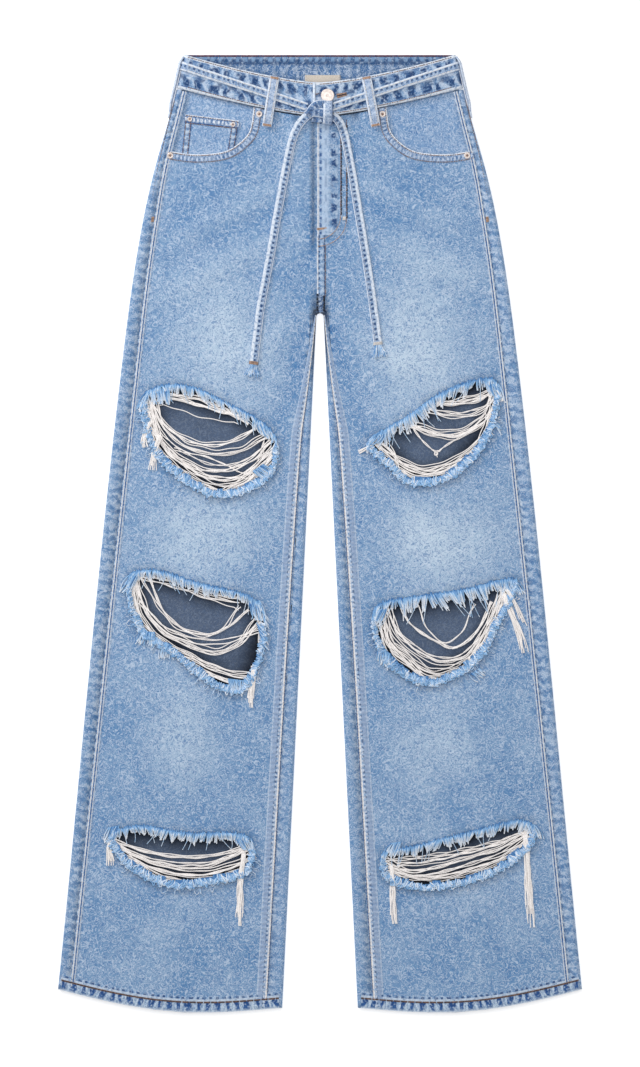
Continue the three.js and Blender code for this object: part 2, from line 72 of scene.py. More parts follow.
# %% Measures
MM = 0.001
TOP = cad_box[1][1] / MM
HEM_HALF = cad_box[1][0] / MM
WAIST_HALF = 153
BAND_HEIGHT = 38
WAIST_DIP = 32
CROTCH = 292
CROTCH_ROUND = 4
FOLD = 4
BAND_FOLD = 4.7
CROWN = 2
WAIST_LIFT = 2
HEM_INNER = 1076
HEM_OUTER = 1055
HEM_BULGE = 14
INNER_AT_HEM = 42.5
SIDE_FOLD = [(0, 153), (52, 165), (142, 190), (210, 204), (312, 219), (1055, HEM_HALF)]
SIDE_SEAM_IN = [(0, 6), (90, 7.5), (200, 13), (1055, 13)]
INSEAM_IN = [(292, 5.5), (560, 12), (1076, 17)]


def place(x, down, z):
    return Vector((x * MM, (TOP - down) * MM, z * MM))


def lerp(a, b, t):
    return a + (b - a) * t


def clamp(t, low=0.0, high=1.0):
    return max(low, min(high, t))


def smooth(value, start, end):
    t = clamp((value - start) / (end - start))
    return t * t * (3 - 2 * t)


def through(stations, down):
    """The value at a distance down on a smooth line through (down, value) stations."""
    if down <= stations[0][0]:
        return stations[0][1]
    if down >= stations[-1][0]:
        return stations[-1][1]
    i = max(k for k, station in enumerate(stations) if station[0] <= down)
    slope = lambda a, b: (stations[b][1] - stations[a][1]) / (stations[b][0] - stations[a][0])
    here = slope(i, i + 1)
    first = (slope(i - 1, i) + here) / 2 if i > 0 else here
    last = (slope(i + 1, i + 2) + here) / 2 if i + 2 < len(stations) else here
    span = stations[i + 1][0] - stations[i][0]
    rise = stations[i + 1][1] - stations[i][1]
    t = (down - stations[i][0]) / span
    bend = (first * span - rise) * (1 - t) + (rise - last * span) * t
    return lerp(stations[i][1], stations[i + 1][1], t) + t * (1 - t) * bend


def side_fold(down):
    return through(SIDE_FOLD, down)


def side_seam(down):
    return side_fold(down) - through(SIDE_SEAM_IN, down)


def inseam_in(down):
    return through(INSEAM_IN, down)


def inner_fold(down):
    start = CROTCH + CROTCH_ROUND
    return lerp(CROTCH_ROUND, INNER_AT_HEM, (down - start) / (HEM_INNER - start))


def lift(down):
    return WAIST_LIFT * (1 - smooth(down, 45, 150))


def band_top(x):
    return WAIST_DIP * (1 - min(1, abs(x) / WAIST_HALF) ** 1.4)


def band_bottom(x):
    return band_top(x) + BAND_HEIGHT


def hem_down(x):
    across = clamp((abs(x) - INNER_AT_HEM) / (HEM_HALF - INNER_AT_HEM))
    return lerp(HEM_INNER, HEM_OUTER, across) + HEM_BULGE * math.sin(math.pi * across)


print("top", round(TOP, 1), "half hem", round(HEM_HALF, 1))

# %% [markdown]
# Laid denim isn't perfectly flat. It keeps soft whiskers across the hips and shallow troughs at
# the knees. Each crease is a line on the cloth with its own width and height, raised or sunk
# as a smooth bell, so it can be placed one by one and never folds the cloth over itself.

# %% Creases and the cloth's height
CREASES = [
    # x, down, x, down, width, height
    (-40, 150, -150, 200, 9, 0.7), (-38, 172, -165, 235, 10, -0.6), (-34, 200, -150, 262, 11, 0.6),
    (-60, 235, -185, 300, 12, -0.5), (48, 146, 150, 190, 9, 0.7), (50, 168, 170, 224, 10, -0.6),
    (44, 200, 160, 250, 11, 0.6), (60, 238, 190, 290, 12, -0.5),
    (-8, 290, -90, 350, 14, 0.8), (8, 290, 90, 350, 14, 0.8),
    (-14, 310, -50, 420, 12, -0.6), (14, 310, 50, 420, 12, -0.6),
    (-95, 530, -100, 590, 16, 0.7), (100, 520, 140, 585, 16, 0.7),
    (-100, 735, -140, 860, 20, -0.8), (110, 725, 150, 850, 20, -0.8),
    (-170, 950, -180, 1040, 18, 0.7), (160, 955, 175, 1040, 18, 0.7),
    (-30, 90, -20, 220, 9, 0.6), (40, 95, 34, 210, 9, -0.6),
]


def crease_height(x, down):
    total = 0.0
    for x0, d0, x1, d1, width, height in CREASES:
        run_x, run_d = x1 - x0, d1 - d0
        t = clamp(((x - x0) * run_x + (down - d0) * run_d) / (run_x ** 2 + run_d ** 2))
        away = ((x - x0 - t * run_x) ** 2 + (down - d0 - t * run_d) ** 2) / width ** 2
        if away < 6:
            total += height * math.exp(-away)
    return total


def front_height(x, down, creased=True):
    away = abs(x)
    seam = side_seam(down)
    leg_share = smooth(down, CROTCH - 140, CROTCH - 10)
    inner = 0 if down < CROTCH else inner_fold(down) + inseam_in(down)
    across = clamp((away - inner) / (seam - inner))
    body = math.cos(across * math.pi / 2)
    leg = math.sin(across * math.pi)
    calm = smooth(seam - away, 0, 25) * smooth(away - inner, -1, 20)
    extra = crease_height(x, down) * (calm if down > CROTCH else smooth(seam - away, 0, 25))
    return lift(down) + 2 * FOLD + CROWN * lerp(body, leg, leg_share) + (extra if creased else 0)


BAND_WALL = 2.2
BAND_END_OVER = -6.5
BAND_END_UNDER = 27
OVERLAP_RISE = BAND_WALL + 0.3


def band_swell(x):
    return CROWN * math.cos(min(1, abs(x) / WAIST_HALF) * math.pi / 2)


def band_height(x):
    rise = OVERLAP_RISE * (1 - smooth(x, BAND_END_UNDER + 2, BAND_END_UNDER + 17))
    return WAIST_LIFT + 2 * BAND_FOLD + band_swell(x) + (rise if x > BAND_END_OVER else 0)


def showing_height(x, down):
    return band_height(x) if down < band_bottom(x) + 1 else front_height(x, down)


# %% [markdown]
# The camera looks straight down, as the jeans lie. A long lens from high up keeps both hems and
# the waist at one scale. Soft light comes from a large panel overhead and a weaker one beside
# the waist, so that seams and frayed yarns cast short shadows.

# %% Camera, light and floor
scene = bpy.context.scene
VIEW_HEIGHT = 1.2057
CAMERA_HEIGHT = 6.0
SENSOR = 36

camera = bpy.data.objects.new("camera", bpy.data.cameras.new("camera"))
camera.data.sensor_fit = "VERTICAL"
camera.data.sensor_height = SENSOR
camera.data.lens = SENSOR * CAMERA_HEIGHT / VIEW_HEIGHT
camera.data.clip_end = 50
camera.location = (0, 0, CAMERA_HEIGHT)
scene.collection.objects.link(camera)
scene.camera = camera
scene.view_settings.view_transform = "Standard"


def panel_light(name, location, size, power):
    light = bpy.data.objects.new(name, bpy.data.lights.new(name, "AREA"))
    light.data.shape = "SQUARE"
    light.data.size = size
    light.data.energy = power
    light.location = location
    light.rotation_euler = (-Vector(location)).to_track_quat("-Z", "Y").to_euler()
    scene.collection.objects.link(light)


panel_light("overhead", (-0.15, 0.4, 3.0), 2.0, 46)
panel_light("waist side", (-1.6, 1.9, 1.1), 0.7, 30)
world = bpy.data.worlds.new("studio")
world.use_nodes = True
world.node_tree.nodes["Background"].inputs[0].default_value = (1, 1, 1, 1)
world.node_tree.nodes["Background"].inputs[1].default_value = 0.39
scene.world = world

# %% [markdown]
# Shader helpers. A node is made with its inputs in one call, and a colour is written as the
# eye sees it, then turned into the linear values that a shader works in.

# %% Node helpers


def colour(red, green, blue):
    linear = lambda c: c / 12.92 if c <= 0.04045 else ((c + 0.055) / 1.055) ** 2.4
    return (*[linear(c / 255) for c in (red, green, blue)], 1)


def node(tree, kind, settings=None, **inputs):
    made = tree.nodes.new(kind)
    for key, value in (settings or {}).items():
        setattr(made, key, value)
    for key, value in inputs.items():
        socket = made.inputs[int(key[1:])] if key[1:].isdigit() and key[0] == "i" else made.inputs[key]
        if isinstance(value, bpy.types.NodeSocket):
            tree.links.new(value, socket)
        else:
            socket.default_value = value
    return made


def maths(tree, operation, a, b=0.0, clamped=False):
    made = node(tree, "ShaderNodeMath", {"operation": operation, "use_clamp": clamped}, i0=a, i1=b)
    return made.outputs[0]


def blend(tree, share, a, b, mode="MIX"):
    made = node(tree, "ShaderNodeMix", {"data_type": "RGBA", "blend_type": mode}, i0=share, i6=a, i7=b)
    return made.outputs[2]


def ramp(tree, value, low, high):
    made = node(tree, "ShaderNodeMapRange", {"clamp": True}, i0=value, i1=low, i2=high)
    return made.outputs[0]


def noise(tree, where, scale, detail=2.0, distortion=0.0, rough=0.5):
    return node(tree, "ShaderNodeTexNoise", None, Vector=where, Scale=scale, Detail=detail,
                Distortion=distortion, Roughness=rough).outputs[0]


def group(name, inputs, outputs):
    made = bpy.data.node_groups.new(name, "ShaderNodeTree")
    for title, kind in inputs:
        made.interface.new_socket(title, in_out="INPUT", socket_type=kind)
    for title, kind in outputs:
        made.interface.new_socket(title, in_out="OUTPUT", socket_type=kind)
    return made, made.nodes.new("NodeGroupInput"), made.nodes.new("NodeGroupOutput")


# %% [markdown]
# Washed denim is blue warp over white weft. At arm's length the twill lines melt into slubs:
# short pale threads wandering over the blue. One group makes that slub and the fine twill, and
# every denim piece places it with its own pair of blues and its own fade.

# %% Washed twill
twill, gin, gout = group(
    "washed twill",
    [("Where", "NodeSocketVector"), ("Deep", "NodeSocketColor"), ("Pale", "NodeSocketColor"),
     ("Fade", "NodeSocketFloat"), ("Thread", "NodeSocketFloat")],
    [("Colour", "NodeSocketColor"), ("Height", "NodeSocketFloat")])
where = gin.outputs["Where"]


def wandering_thread(scale, distortion, width):
    """A mask of thin lines that wander over the cloth, where a noise crosses its middle value."""
    field = noise(twill, where, scale, 1.5, distortion, 0.5)
    away = maths(twill, "ABSOLUTE", maths(twill, "SUBTRACT", field, 0.5))
    return ramp(twill, away, width, width * 0.2)


pale_thread = wandering_thread(128, 2.6, 0.062)
deep_thread = wandering_thread(140, 2.2, 0.068)
cloud = noise(twill, where, 16, 4, 0.6, 0.6)
turned = node(twill, "ShaderNodeMapping", None, Vector=where, Rotation=(0, 0, math.radians(52)))
wave = node(twill, "ShaderNodeTexWave", {"bands_direction": "X"}, Vector=turned.outputs[0],
            Scale=330, Distortion=1.2, Detail=1.0).outputs[1]
drift = maths(twill, "MULTIPLY", maths(twill, "SUBTRACT", cloud, 0.5), 0.8)
share = maths(twill, "ADD", gin.outputs["Fade"], drift, True)
base = blend(twill, share, gin.outputs["Deep"], gin.outputs["Pale"])
deep_share = maths(twill, "MULTIPLY", deep_thread, maths(twill, "MULTIPLY", gin.outputs["Thread"], 0.72))
pale_share = maths(twill, "MULTIPLY", pale_thread, maths(twill, "MULTIPLY", gin.outputs["Thread"], 0.62))
shaded = blend(twill, deep_share, base, colour(64, 112, 168))
threaded = blend(twill, pale_share, shaded, colour(208, 222, 240))
lined = blend(twill, maths(twill, "MULTIPLY", wave, 0.08), threaded, colour(222, 231, 242))
twill.links.new(lined, gout.inputs["Colour"])
height = maths(twill, "ADD", maths(twill, "MULTIPLY", pale_thread, 0.7), maths(twill, "MULTIPLY", wave, 0.3))
twill.links.new(height, gout.inputs["Height"])


def cloth_material(name, deep, pale, fade=0.5, fade_attribute=None, bump=0.35, thread=1.0):
    made = bpy.data.materials.new(name)
    made.use_nodes = True
    tree = made.node_tree
    shader = tree.nodes["Principled BSDF"]
    shader.inputs["Roughness"].default_value = 0.9
    shader.inputs["Specular IOR Level"].default_value = 0.18
    shader.inputs["Sheen Weight"].default_value = 0.12
    coordinates = node(tree, "ShaderNodeTexCoord").outputs["Object"]
    amount = fade
    if fade_attribute:
        amount = node(tree, "ShaderNodeAttribute", {"attribute_name": fade_attribute}).outputs["Fac"]
    weave = node(tree, "ShaderNodeGroup", {"node_tree": twill}, Where=coordinates, Deep=deep, Pale=pale, Fade=amount,
                 Thread=thread)
    raised = node(tree, "ShaderNodeBump", None, Height=weave.outputs["Height"], Strength=bump, Distance=0.0006)
    tree.links.new(weave.outputs["Colour"], shader.inputs["Base Color"])
    tree.links.new(raised.outputs[0], shader.inputs["Normal"])
    return made, weave


DEEP_BLUE = colour(50, 117, 174)
PALE_BLUE = colour(190, 211, 230)
denim, denim_weave = cloth_material("washed denim", DEEP_BLUE, PALE_BLUE, fade_attribute="fade")
# Painted shade: the panels' reverse, seen through the rips, is a dark slate blue, darker than real denim's reverse.
shaded_denim_inside, _ = cloth_material("shaded denim inside", colour(50, 66, 92), colour(84, 102, 130), 0.45, bump=0.25, thread=0.16)
pocket_denim, _ = cloth_material("pocket denim", colour(80, 130, 182), colour(172, 196, 224), 0.42)

# %% [markdown]
# Where denim is folded and sewn it ropes: the cloth puckers between stitches, the ridges wear
# white and the hollows stay dark blue. Roped pieces carry a UV map in millimetres, along and
# across, so that the blotches follow the seam round every bend.

# %% Roped denim
roping, gin, gout = group(
    "roping",
    [("Run", "NodeSocketVector"), ("Pitch", "NodeSocketFloat"), ("Amount", "NodeSocketFloat"),
     ("Lean", "NodeSocketFloat"), ("Cloth", "NodeSocketColor")],
    [("Colour", "NodeSocketColor"), ("Height", "NodeSocketFloat")])
split = node(roping, "ShaderNodeSeparateXYZ", None, Vector=gin.outputs["Run"])
wander = noise(roping, gin.outputs["Run"], 0.09, 2, 0.4)
lean = maths(roping, "MULTIPLY", split.outputs[1], gin.outputs["Lean"])
drift = maths(roping, "MULTIPLY", wander, maths(roping, "MULTIPLY", gin.outputs["Pitch"], 1.7))
along = maths(roping, "ADD", split.outputs[0], maths(roping, "ADD", lean, drift))
phase = maths(roping, "DIVIDE", maths(roping, "MULTIPLY", along, math.tau), gin.outputs["Pitch"])
pucker = maths(roping, "SINE", phase)
patchy = noise(roping, gin.outputs["Run"], 0.22, 2, 0.5)
hollow = maths(roping, "ADD", pucker, maths(roping, "MULTIPLY", maths(roping, "SUBTRACT", patchy, 0.5), 4.0))
dark_share = maths(roping, "MULTIPLY", ramp(roping, hollow, 0.15, 1.0), gin.outputs["Amount"])
worn_share = maths(roping, "MULTIPLY", ramp(roping, hollow, -0.1, -0.95), gin.outputs["Amount"])
stained = blend(roping, dark_share, gin.outputs["Cloth"], colour(58, 98, 150))
worn = blend(roping, maths(roping, "MULTIPLY", worn_share, 0.8), stained, colour(214, 224, 237))
roping.links.new(worn, gout.inputs["Colour"])
roping.links.new(hollow, gout.inputs["Height"])


def roped_material(name, pitch, amount, deep=DEEP_BLUE, pale=PALE_BLUE, fade=0.45, lean=0.15, lines=()):
    """Roped denim. Lines run along the seam, most of them wear and a few painted shade: place across, half width,
    colour, strength, dash pitch.
    """
    made, weave = cloth_material(name, deep, pale, fade, bump=0.3)
    tree = made.node_tree
    shader = tree.nodes["Principled BSDF"]
    run = node(tree, "ShaderNodeUVMap", {"uv_map": "run"}).outputs[0]
    roped = node(tree, "ShaderNodeGroup", {"node_tree": roping}, Run=run, Pitch=pitch, Amount=amount,
                 Lean=lean, Cloth=weave.outputs["Colour"])
    result = roped.outputs["Colour"]
    for centre, half, line_colour, strength, *dash in lines:
        result = node(tree, "ShaderNodeGroup", {"node_tree": wear_and_shade_line}, Run=run, Centre=centre, Half=half,
                      Colour=line_colour, Strength=strength, Dash=dash[0] if dash else 400.0, Cloth=result).outputs[0]
    tree.links.new(result, shader.inputs["Base Color"])
    puckered = node(tree, "ShaderNodeBump", {"invert": True}, Height=roped.outputs["Height"], Strength=0.25,
                    Distance=0.0008)
    old = shader.inputs["Normal"].links[0].from_node
    tree.links.new(puckered.outputs[0], old.inputs["Normal"])
    return made


# A line along a strip, for wear and for painted shade, wobbling and broken into dashes.
wear_and_shade_line, gin, gout = group(
    "wear and shade line",
    [("Run", "NodeSocketVector"), ("Centre", "NodeSocketFloat"), ("Half", "NodeSocketFloat"),
     ("Colour", "NodeSocketColor"), ("Strength", "NodeSocketFloat"), ("Dash", "NodeSocketFloat"),
     ("Cloth", "NodeSocketColor")],
    [("Colour", "NodeSocketColor")])
split = node(wear_and_shade_line, "ShaderNodeSeparateXYZ", None, Vector=gin.outputs["Run"])
across = split.outputs[1]
stray = maths(wear_and_shade_line, "MULTIPLY", noise(wear_and_shade_line, gin.outputs["Run"], 0.06), maths(wear_and_shade_line, "MULTIPLY", gin.outputs["Dash"], 1.5))
turn = maths(wear_and_shade_line, "DIVIDE", maths(wear_and_shade_line, "ADD", split.outputs[0], stray), gin.outputs["Dash"])
dashes = ramp(wear_and_shade_line, maths(wear_and_shade_line, "COSINE", maths(wear_and_shade_line, "MULTIPLY", turn, math.tau)), -0.25, 0.45)
dashes = maths(wear_and_shade_line, "MAXIMUM", dashes, maths(wear_and_shade_line, "GREATER_THAN", gin.outputs["Dash"], 300.0))
wobble = maths(wear_and_shade_line, "MULTIPLY", maths(wear_and_shade_line, "SUBTRACT", noise(wear_and_shade_line, gin.outputs["Run"], 0.25), 0.5), 0.9)
away = maths(wear_and_shade_line, "ABSOLUTE", maths(wear_and_shade_line, "ADD", maths(wear_and_shade_line, "SUBTRACT", across, gin.outputs["Centre"]), wobble))
line = ramp(wear_and_shade_line, maths(wear_and_shade_line, "DIVIDE", away, gin.outputs["Half"]), 1.25, 0.6)
breaks = ramp(wear_and_shade_line, noise(wear_and_shade_line, gin.outputs["Run"], 0.35, 1), 0.25, 0.5)
masked = maths(wear_and_shade_line, "MULTIPLY", maths(wear_and_shade_line, "MULTIPLY", line, breaks), dashes)
line_share = maths(wear_and_shade_line, "MULTIPLY", masked, gin.outputs["Strength"])
wear_and_shade_line.links.new(blend(wear_and_shade_line, line_share, gin.outputs["Cloth"], gin.outputs["Colour"]), gout.inputs[0])
NAVY = colour(46, 84, 138)
BAND_NAVY = colour(30, 64, 112)
WORN = colour(226, 233, 243)


BELT_WIDTH = 9.6
LOOP_WIDTH = 11
band_denim = roped_material("waistband denim", 13, 0.55, fade=0.42, lean=0.4, lines=[
    (-9.8, 4.4, BAND_NAVY, 0.95, 14), (-4.6, 2.7, BAND_NAVY, 0.65, 19), (10.4, 4.4, BAND_NAVY, 0.95, 14),
    (4.6, 2.8, BAND_NAVY, 0.7, 17), (0.5, 1.6, colour(200, 214, 234), 0.5, 23),
    (-15.0, 0.6, NAVY, 0.7, 5), (15.0, 0.6, NAVY, 0.7, 5), (-17.4, 1.7, WORN, 1.0), (17.4, 1.6, WORN, 1.0)])
band_inside = roped_material("waistband inside", 12, 0.3, deep=colour(44, 84, 130), pale=colour(88, 128, 170), lean=0.0,
                             lines=[(-11.0, 3.6, colour(34, 68, 112), 0.8), (-14.5, 3.4, colour(130, 162, 198), 0.8, 9),
                                    (-17.6, 1.2, NAVY, 0.9)])
hem_denim = roped_material("hem denim", 5, 0.35, fade=0.85, lean=0.2, lines=[
    (0.6, 5.2, colour(40, 88, 150), 0.95, 11), (2.6, 2.6, colour(26, 62, 118), 0.6, 11), (-5.6, 0.8, colour(214, 224, 238), 0.8)])
hem_top_denim = roped_material("hem top denim", 9, 0.3, fade=0.35, lean=0.6, lines=[
    (0.8, 1.7, colour(38, 74, 124), 0.9, 7.5), (-1.9, 1.8, colour(204, 220, 240), 0.95)])
STRAP_TONES = {"deep": colour(108, 142, 184), "pale": colour(176, 196, 220)}
EDGE = colour(220, 229, 242)
LADDER = colour(40, 72, 118)
strap_denim = roped_material("belt denim", 6, 0.25, **STRAP_TONES, lines=[
    (-0.9, 1.4, LADDER, 0.9, 5.4), (-3.7, 1.3, EDGE, 1.0), (3.8, 1.2, EDGE, 1.0), (2.6, 0.4, NAVY, 0.5)])
tie_denim = {side_name: roped_material(f"tie denim {side_name}", 6, 0.2, **STRAP_TONES, lines=[
    (-0.7 * way, 1.7, LADDER, 0.95, 5.6), (3.1 * way, 2.0, EDGE, 1.0), (-4.2 * way, 0.7, EDGE, 1.0), (-3.3 * way, 0.5, NAVY, 0.6)])
    for side_name, way in (("right", 1), ("left", -1))}
# The navy line at the turn's negative edge is painted shade along that side; the other lines are a worn edge and dark
# stitch marks.
turn_denim = roped_material("knot turn denim", 9, 0.15, deep=colour(150, 172, 202), pale=colour(196, 208, 226), lines=[
    (4.2, 1.3, EDGE, 1.0), (-2.6, 0.5, LADDER, 0.8, 3.5), (2.4, 0.4, LADDER, 0.6, 3.5), (-4.6, 0.9, NAVY, 0.6)])
loop_denim = roped_material("loop denim", 12, 0.2, deep=colour(140, 164, 198), pale=colour(194, 207, 228), lines=[
    (-4.7, 0.9, EDGE, 1.0), (4.7, 0.9, EDGE, 1.0), (-3.4, 0.6, LADDER, 0.8, 3.4), (3.4, 0.6, LADDER, 0.8, 3.4)])

# The panels rope too, close to their seams. A "rope" attribute on their points says how much.
tree = denim.node_tree
split = node(tree, "ShaderNodeSeparateXYZ", None, Vector=node(tree, "ShaderNodeTexCoord").outputs["Object"])
down_cloth = maths(tree, "MULTIPLY", split.outputs[1], 1 / MM)
across_cloth = maths(tree, "MULTIPLY", split.outputs[0], 1 / MM)
turned_run = node(tree, "ShaderNodeCombineXYZ", None, X=down_cloth, Y=across_cloth)
amount = node(tree, "ShaderNodeAttribute", {"attribute_name": "rope"}).outputs["Fac"]
roped = node(tree, "ShaderNodeGroup", {"node_tree": roping}, Run=turned_run.outputs[0], Pitch=12.0, Amount=amount,
             Lean=0.2, Cloth=denim_weave.outputs["Colour"])
tree.links.new(roped.outputs["Colour"], tree.nodes["Principled BSDF"].inputs["Base Color"])

# Painted shade: where cloth dives under cloth, by the fly, round the crotch and round the rips, the
# colour is pulled towards dark navy, and inside the rips the panels' reverse goes towards near black.
# A point attribute on each piece says how much.
for shade_painted_material, dark in ((denim, colour(20, 34, 60)), (shaded_denim_inside, colour(14, 20, 32))):
    tree = shade_painted_material.node_tree
    shader = tree.nodes["Principled BSDF"]
    plain = shader.inputs["Base Color"].links[0].from_socket
    share = node(tree, "ShaderNodeAttribute", {"attribute_name": "painted_shade" if shade_painted_material is denim else "painted_rip_shade"}).outputs["Fac"]
    tree.links.new(blend(tree, share, plain, dark), shader.inputs["Base Color"])
print("materials", len(bpy.data.materials))

# %% [markdown]
# Yarns, threads, trim metal and the floor are simpler finishes: an even colour broken by fine
# noise, with its own gloss.

# %% Yarn, thread, metal and floor


def plain_material(name, first, second, scale, roughness, metallic=0.0, bump=0.0):
    made = bpy.data.materials.new(name)
    made.use_nodes = True
    tree = made.node_tree
    shader = tree.nodes["Principled BSDF"]
    shader.inputs["Roughness"].default_value = roughness
    shader.inputs["Metallic"].default_value = metallic
    where = node(tree, "ShaderNodeTexCoord").outputs["Object"]
    grain = noise(tree, where, scale, 2)
    tree.links.new(blend(tree, ramp(tree, grain, 0.35, 0.65), first, second), shader.inputs["Base Color"])
    if bump:
        raised = node(tree, "ShaderNodeBump", None, Height=grain, Strength=bump, Distance=0.0003)
        tree.links.new(raised.outputs[0], shader.inputs["Normal"])
    return made


white_yarn = plain_material("white weft yarn", colour(255, 252, 250), colour(240, 233, 230), 900, 0.95, 0, 0.4)
blue_yarn = plain_material("blue warp yarn", colour(88, 142, 198), colour(146, 188, 228), 260, 0.95, 0, 0.3)
pale_yarn = plain_material("faded yarn", colour(160, 198, 234), colour(232, 240, 250), 260, 0.95, 0, 0.3)


def frayed_material(name, root, middle, tip):
    """Yarn that fades along its length, as its point attribute says."""
    made = plain_material(name, root, middle, 420, 0.95, 0, 0.3)
    tree = made.node_tree
    shader = tree.nodes["Principled BSDF"]
    far = node(tree, "ShaderNodeAttribute", {"attribute_name": "along"}).outputs["Fac"]
    grain = noise(tree, node(tree, "ShaderNodeTexCoord").outputs["Object"], 330, 2)
    far = maths(tree, "ADD", far, maths(tree, "MULTIPLY", maths(tree, "SUBTRACT", grain, 0.5), 0.25), True)
    first = blend(tree, ramp(tree, far, 0.0, 0.5), root, middle)
    tree.links.new(blend(tree, ramp(tree, far, 0.5, 1.0), first, tip), shader.inputs["Base Color"])
    return made


frayed_yarn = frayed_material("frayed yarn", colour(74, 128, 186), colour(146, 190, 230), colour(240, 245, 252))
cream_thread = plain_material("cream thread", colour(232, 226, 218), colour(196, 196, 200), 500, 0.8)
brown_thread = plain_material("brown thread", colour(150, 116, 98), colour(84, 72, 74), 500, 0.8)
gold_thread = plain_material("gold thread", colour(204, 170, 146), colour(146, 120, 106), 500, 0.75)
dark_thread = plain_material("dark thread", colour(58, 52, 60), colour(34, 36, 48), 500, 0.8)
rust_thread = plain_material("rust thread", colour(150, 88, 62), colour(112, 66, 52), 500, 0.8)
trim_metal = plain_material("trim metal", colour(232, 220, 214), colour(206, 194, 188), 500, 0.42, 0.4, 0.1)
copper = plain_material("rivet centre", colour(172, 140, 124), colour(120, 98, 90), 700, 0.45, 0.5)
tape_cloth = plain_material("label tape", colour(216, 206, 194), colour(190, 180, 168), 1200, 0.85, 0, 0.4)
floor_paint = plain_material("pale floor", colour(228, 228, 229), colour(224, 224, 226), 3, 0.95)
floor_paint.node_tree.nodes["Principled BSDF"].inputs["Emission Color"].default_value = (1, 1, 1, 1)
floor_paint.node_tree.nodes["Principled BSDF"].inputs["Emission Strength"].default_value = 0.5

floor_mesh = bmesh.new()
bmesh.ops.create_grid(floor_mesh, x_segments=1, y_segments=1, size=12)
bmesh.ops.translate(floor_mesh, verts=floor_mesh.verts, vec=(0, 0, -0.0002))
floor = bpy.data.objects.new("floor", bpy.data.meshes.new("floor"))
floor_mesh.to_mesh(floor.data)
floor_mesh.free()
floor.data.materials.append(floor_paint)
scene.collection.objects.link(floor)

# %% [markdown]
# A cloth piece starts as an even grid from bmesh, and each point is then carried to its place
# on the garment. The grid keeps its own run in millimetres as a UV map. Solidify gives the wall
# on the inner side, with the reverse of the cloth as a second material; on the denim panels that
# reverse is darkened with painted shade.

# %% Piece helpers


def finished(name, mesh, materials, replaces=(), shade_smooth=True):
    data = bpy.data.meshes.new(name)
    mesh.to_mesh(data)
    mesh.free()
    made = bpy.data.objects.new(name, data)
    for material in materials:
        data.materials.append(material)
    if shade_smooth:
        data.polygons.foreach_set("use_smooth", [True] * len(data.polygons))
    scene.collection.objects.link(made)
    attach(made, "root")
    if replaces:
        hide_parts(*replaces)
    return made


def walled(piece, thickness, inner_material=0):
    wall = piece.modifiers.new("wall", "SOLIDIFY")
    wall.thickness = thickness * MM
    wall.offset = -1
    wall.material_offset = inner_material
    return piece


def carried_grid(columns, rows, carry, closed=False):
    """A grid whose points are carried to carry(u, v), which returns the place and the run there."""
    mesh = bmesh.new()
    bmesh.ops.create_grid(mesh, x_segments=columns, y_segments=rows, size=0.5)
    runs = {}
    for vert in mesh.verts:
        u, v = vert.co.x + 0.5, vert.co.y + 0.5
        vert.co, runs[vert.index] = carry(u, v)
    layer = mesh.loops.layers.uv.new("run")
    for face in mesh.faces:
        for loop in face.loops:
            loop[layer].uv = runs[loop.vert.index]
    return mesh


def flip_if_needed(mesh, outward):
    mesh.normal_update()
    face = max(mesh.faces, key=lambda f: f.calc_area())
    if face.normal.dot(outward(face.calc_center_median())) < 0:
        bmesh.ops.reverse_faces(mesh, faces=mesh.faces)


def smooth_route(route, step):
    """Evenly spaced places on a smooth curve through a few chosen ones."""
    places = [Vector((x, down)) for x, down in route]
    dense = []
    for i in range(len(places) - 1):
        before, start = places[max(0, i - 1)], places[i]
        end, after = places[i + 1], places[min(len(places) - 1, i + 2)]
        for k in range(16):
            t = k / 16
            dense.append(0.5 * (2 * start + (end - before) * t + (2 * before - 5 * start + 4 * end - after) * t * t
                                + (3 * start - before - 3 * end + after) * t ** 3))
    dense.append(places[-1])
    lengths = [0.0]
    for a, b in zip(dense, dense[1:]):
        lengths.append(lengths[-1] + (b - a).length)
    count = max(2, round(lengths[-1] / step))
    result, k = [], 0
    for i in range(count + 1):
        want = lengths[-1] * i / count
        while k < len(lengths) - 2 and lengths[k + 1] < want:
            k += 1
        share = (want - lengths[k]) / max(1e-9, lengths[k + 1] - lengths[k])
        result.append(dense[k].lerp(dense[k + 1], clamp(share)))
    return result, lengths[-1]


def sideways(route, i):
    run = route[min(len(route) - 1, i + 1)] - route[max(0, i - 1)]
    return Vector((-run.y, run.x)).normalized()


# %% [markdown]
# The front legs come from the frame itself: the upper skin of each packed front leg already
# has the pocket scoop and the three rips cut in it. It is pressed flat, cut by a net of
# planes into small cells, and each point is then lifted to the creased height.

# %% Front legs
CELL = 5.0
# Washed fades. Each patch on the x < 0 side is a little darker than its mirror twin: painted shade that evens out the
# brighter light there from the waist-side lamp.
FADES_AND_SIDE_SHADE = [
    # x, down, half width, half height, strength
    (-112, 318, 62, 100, 0.53), (115, 318, 62, 100, 0.57), (-135, 545, 62, 50, 0.56), (136, 545, 62, 50, 0.60),
    (-146, 772, 45, 60, 0.47), (126, 776, 45, 60, 0.52), (-125, 160, 65, 55, -0.17), (120, 175, 60, 55, -0.08),
    (0, 290, 60, 70, -0.13),
]


def fade_at(x, down):
    total = 0.28
    for x0, d0, w, h, strength in FADES_AND_SIDE_SHADE:
        total += strength * math.exp(-(((x - x0) / w) ** 2) - ((down - d0) / h) ** 2)
    centre = math.exp(-(x / 38) ** 2) * smooth(down, 60, 120) * (1 - smooth(down, 330, 420))
    return clamp(total - 0.08 * centre + 0.2 * crease_height(x, down))


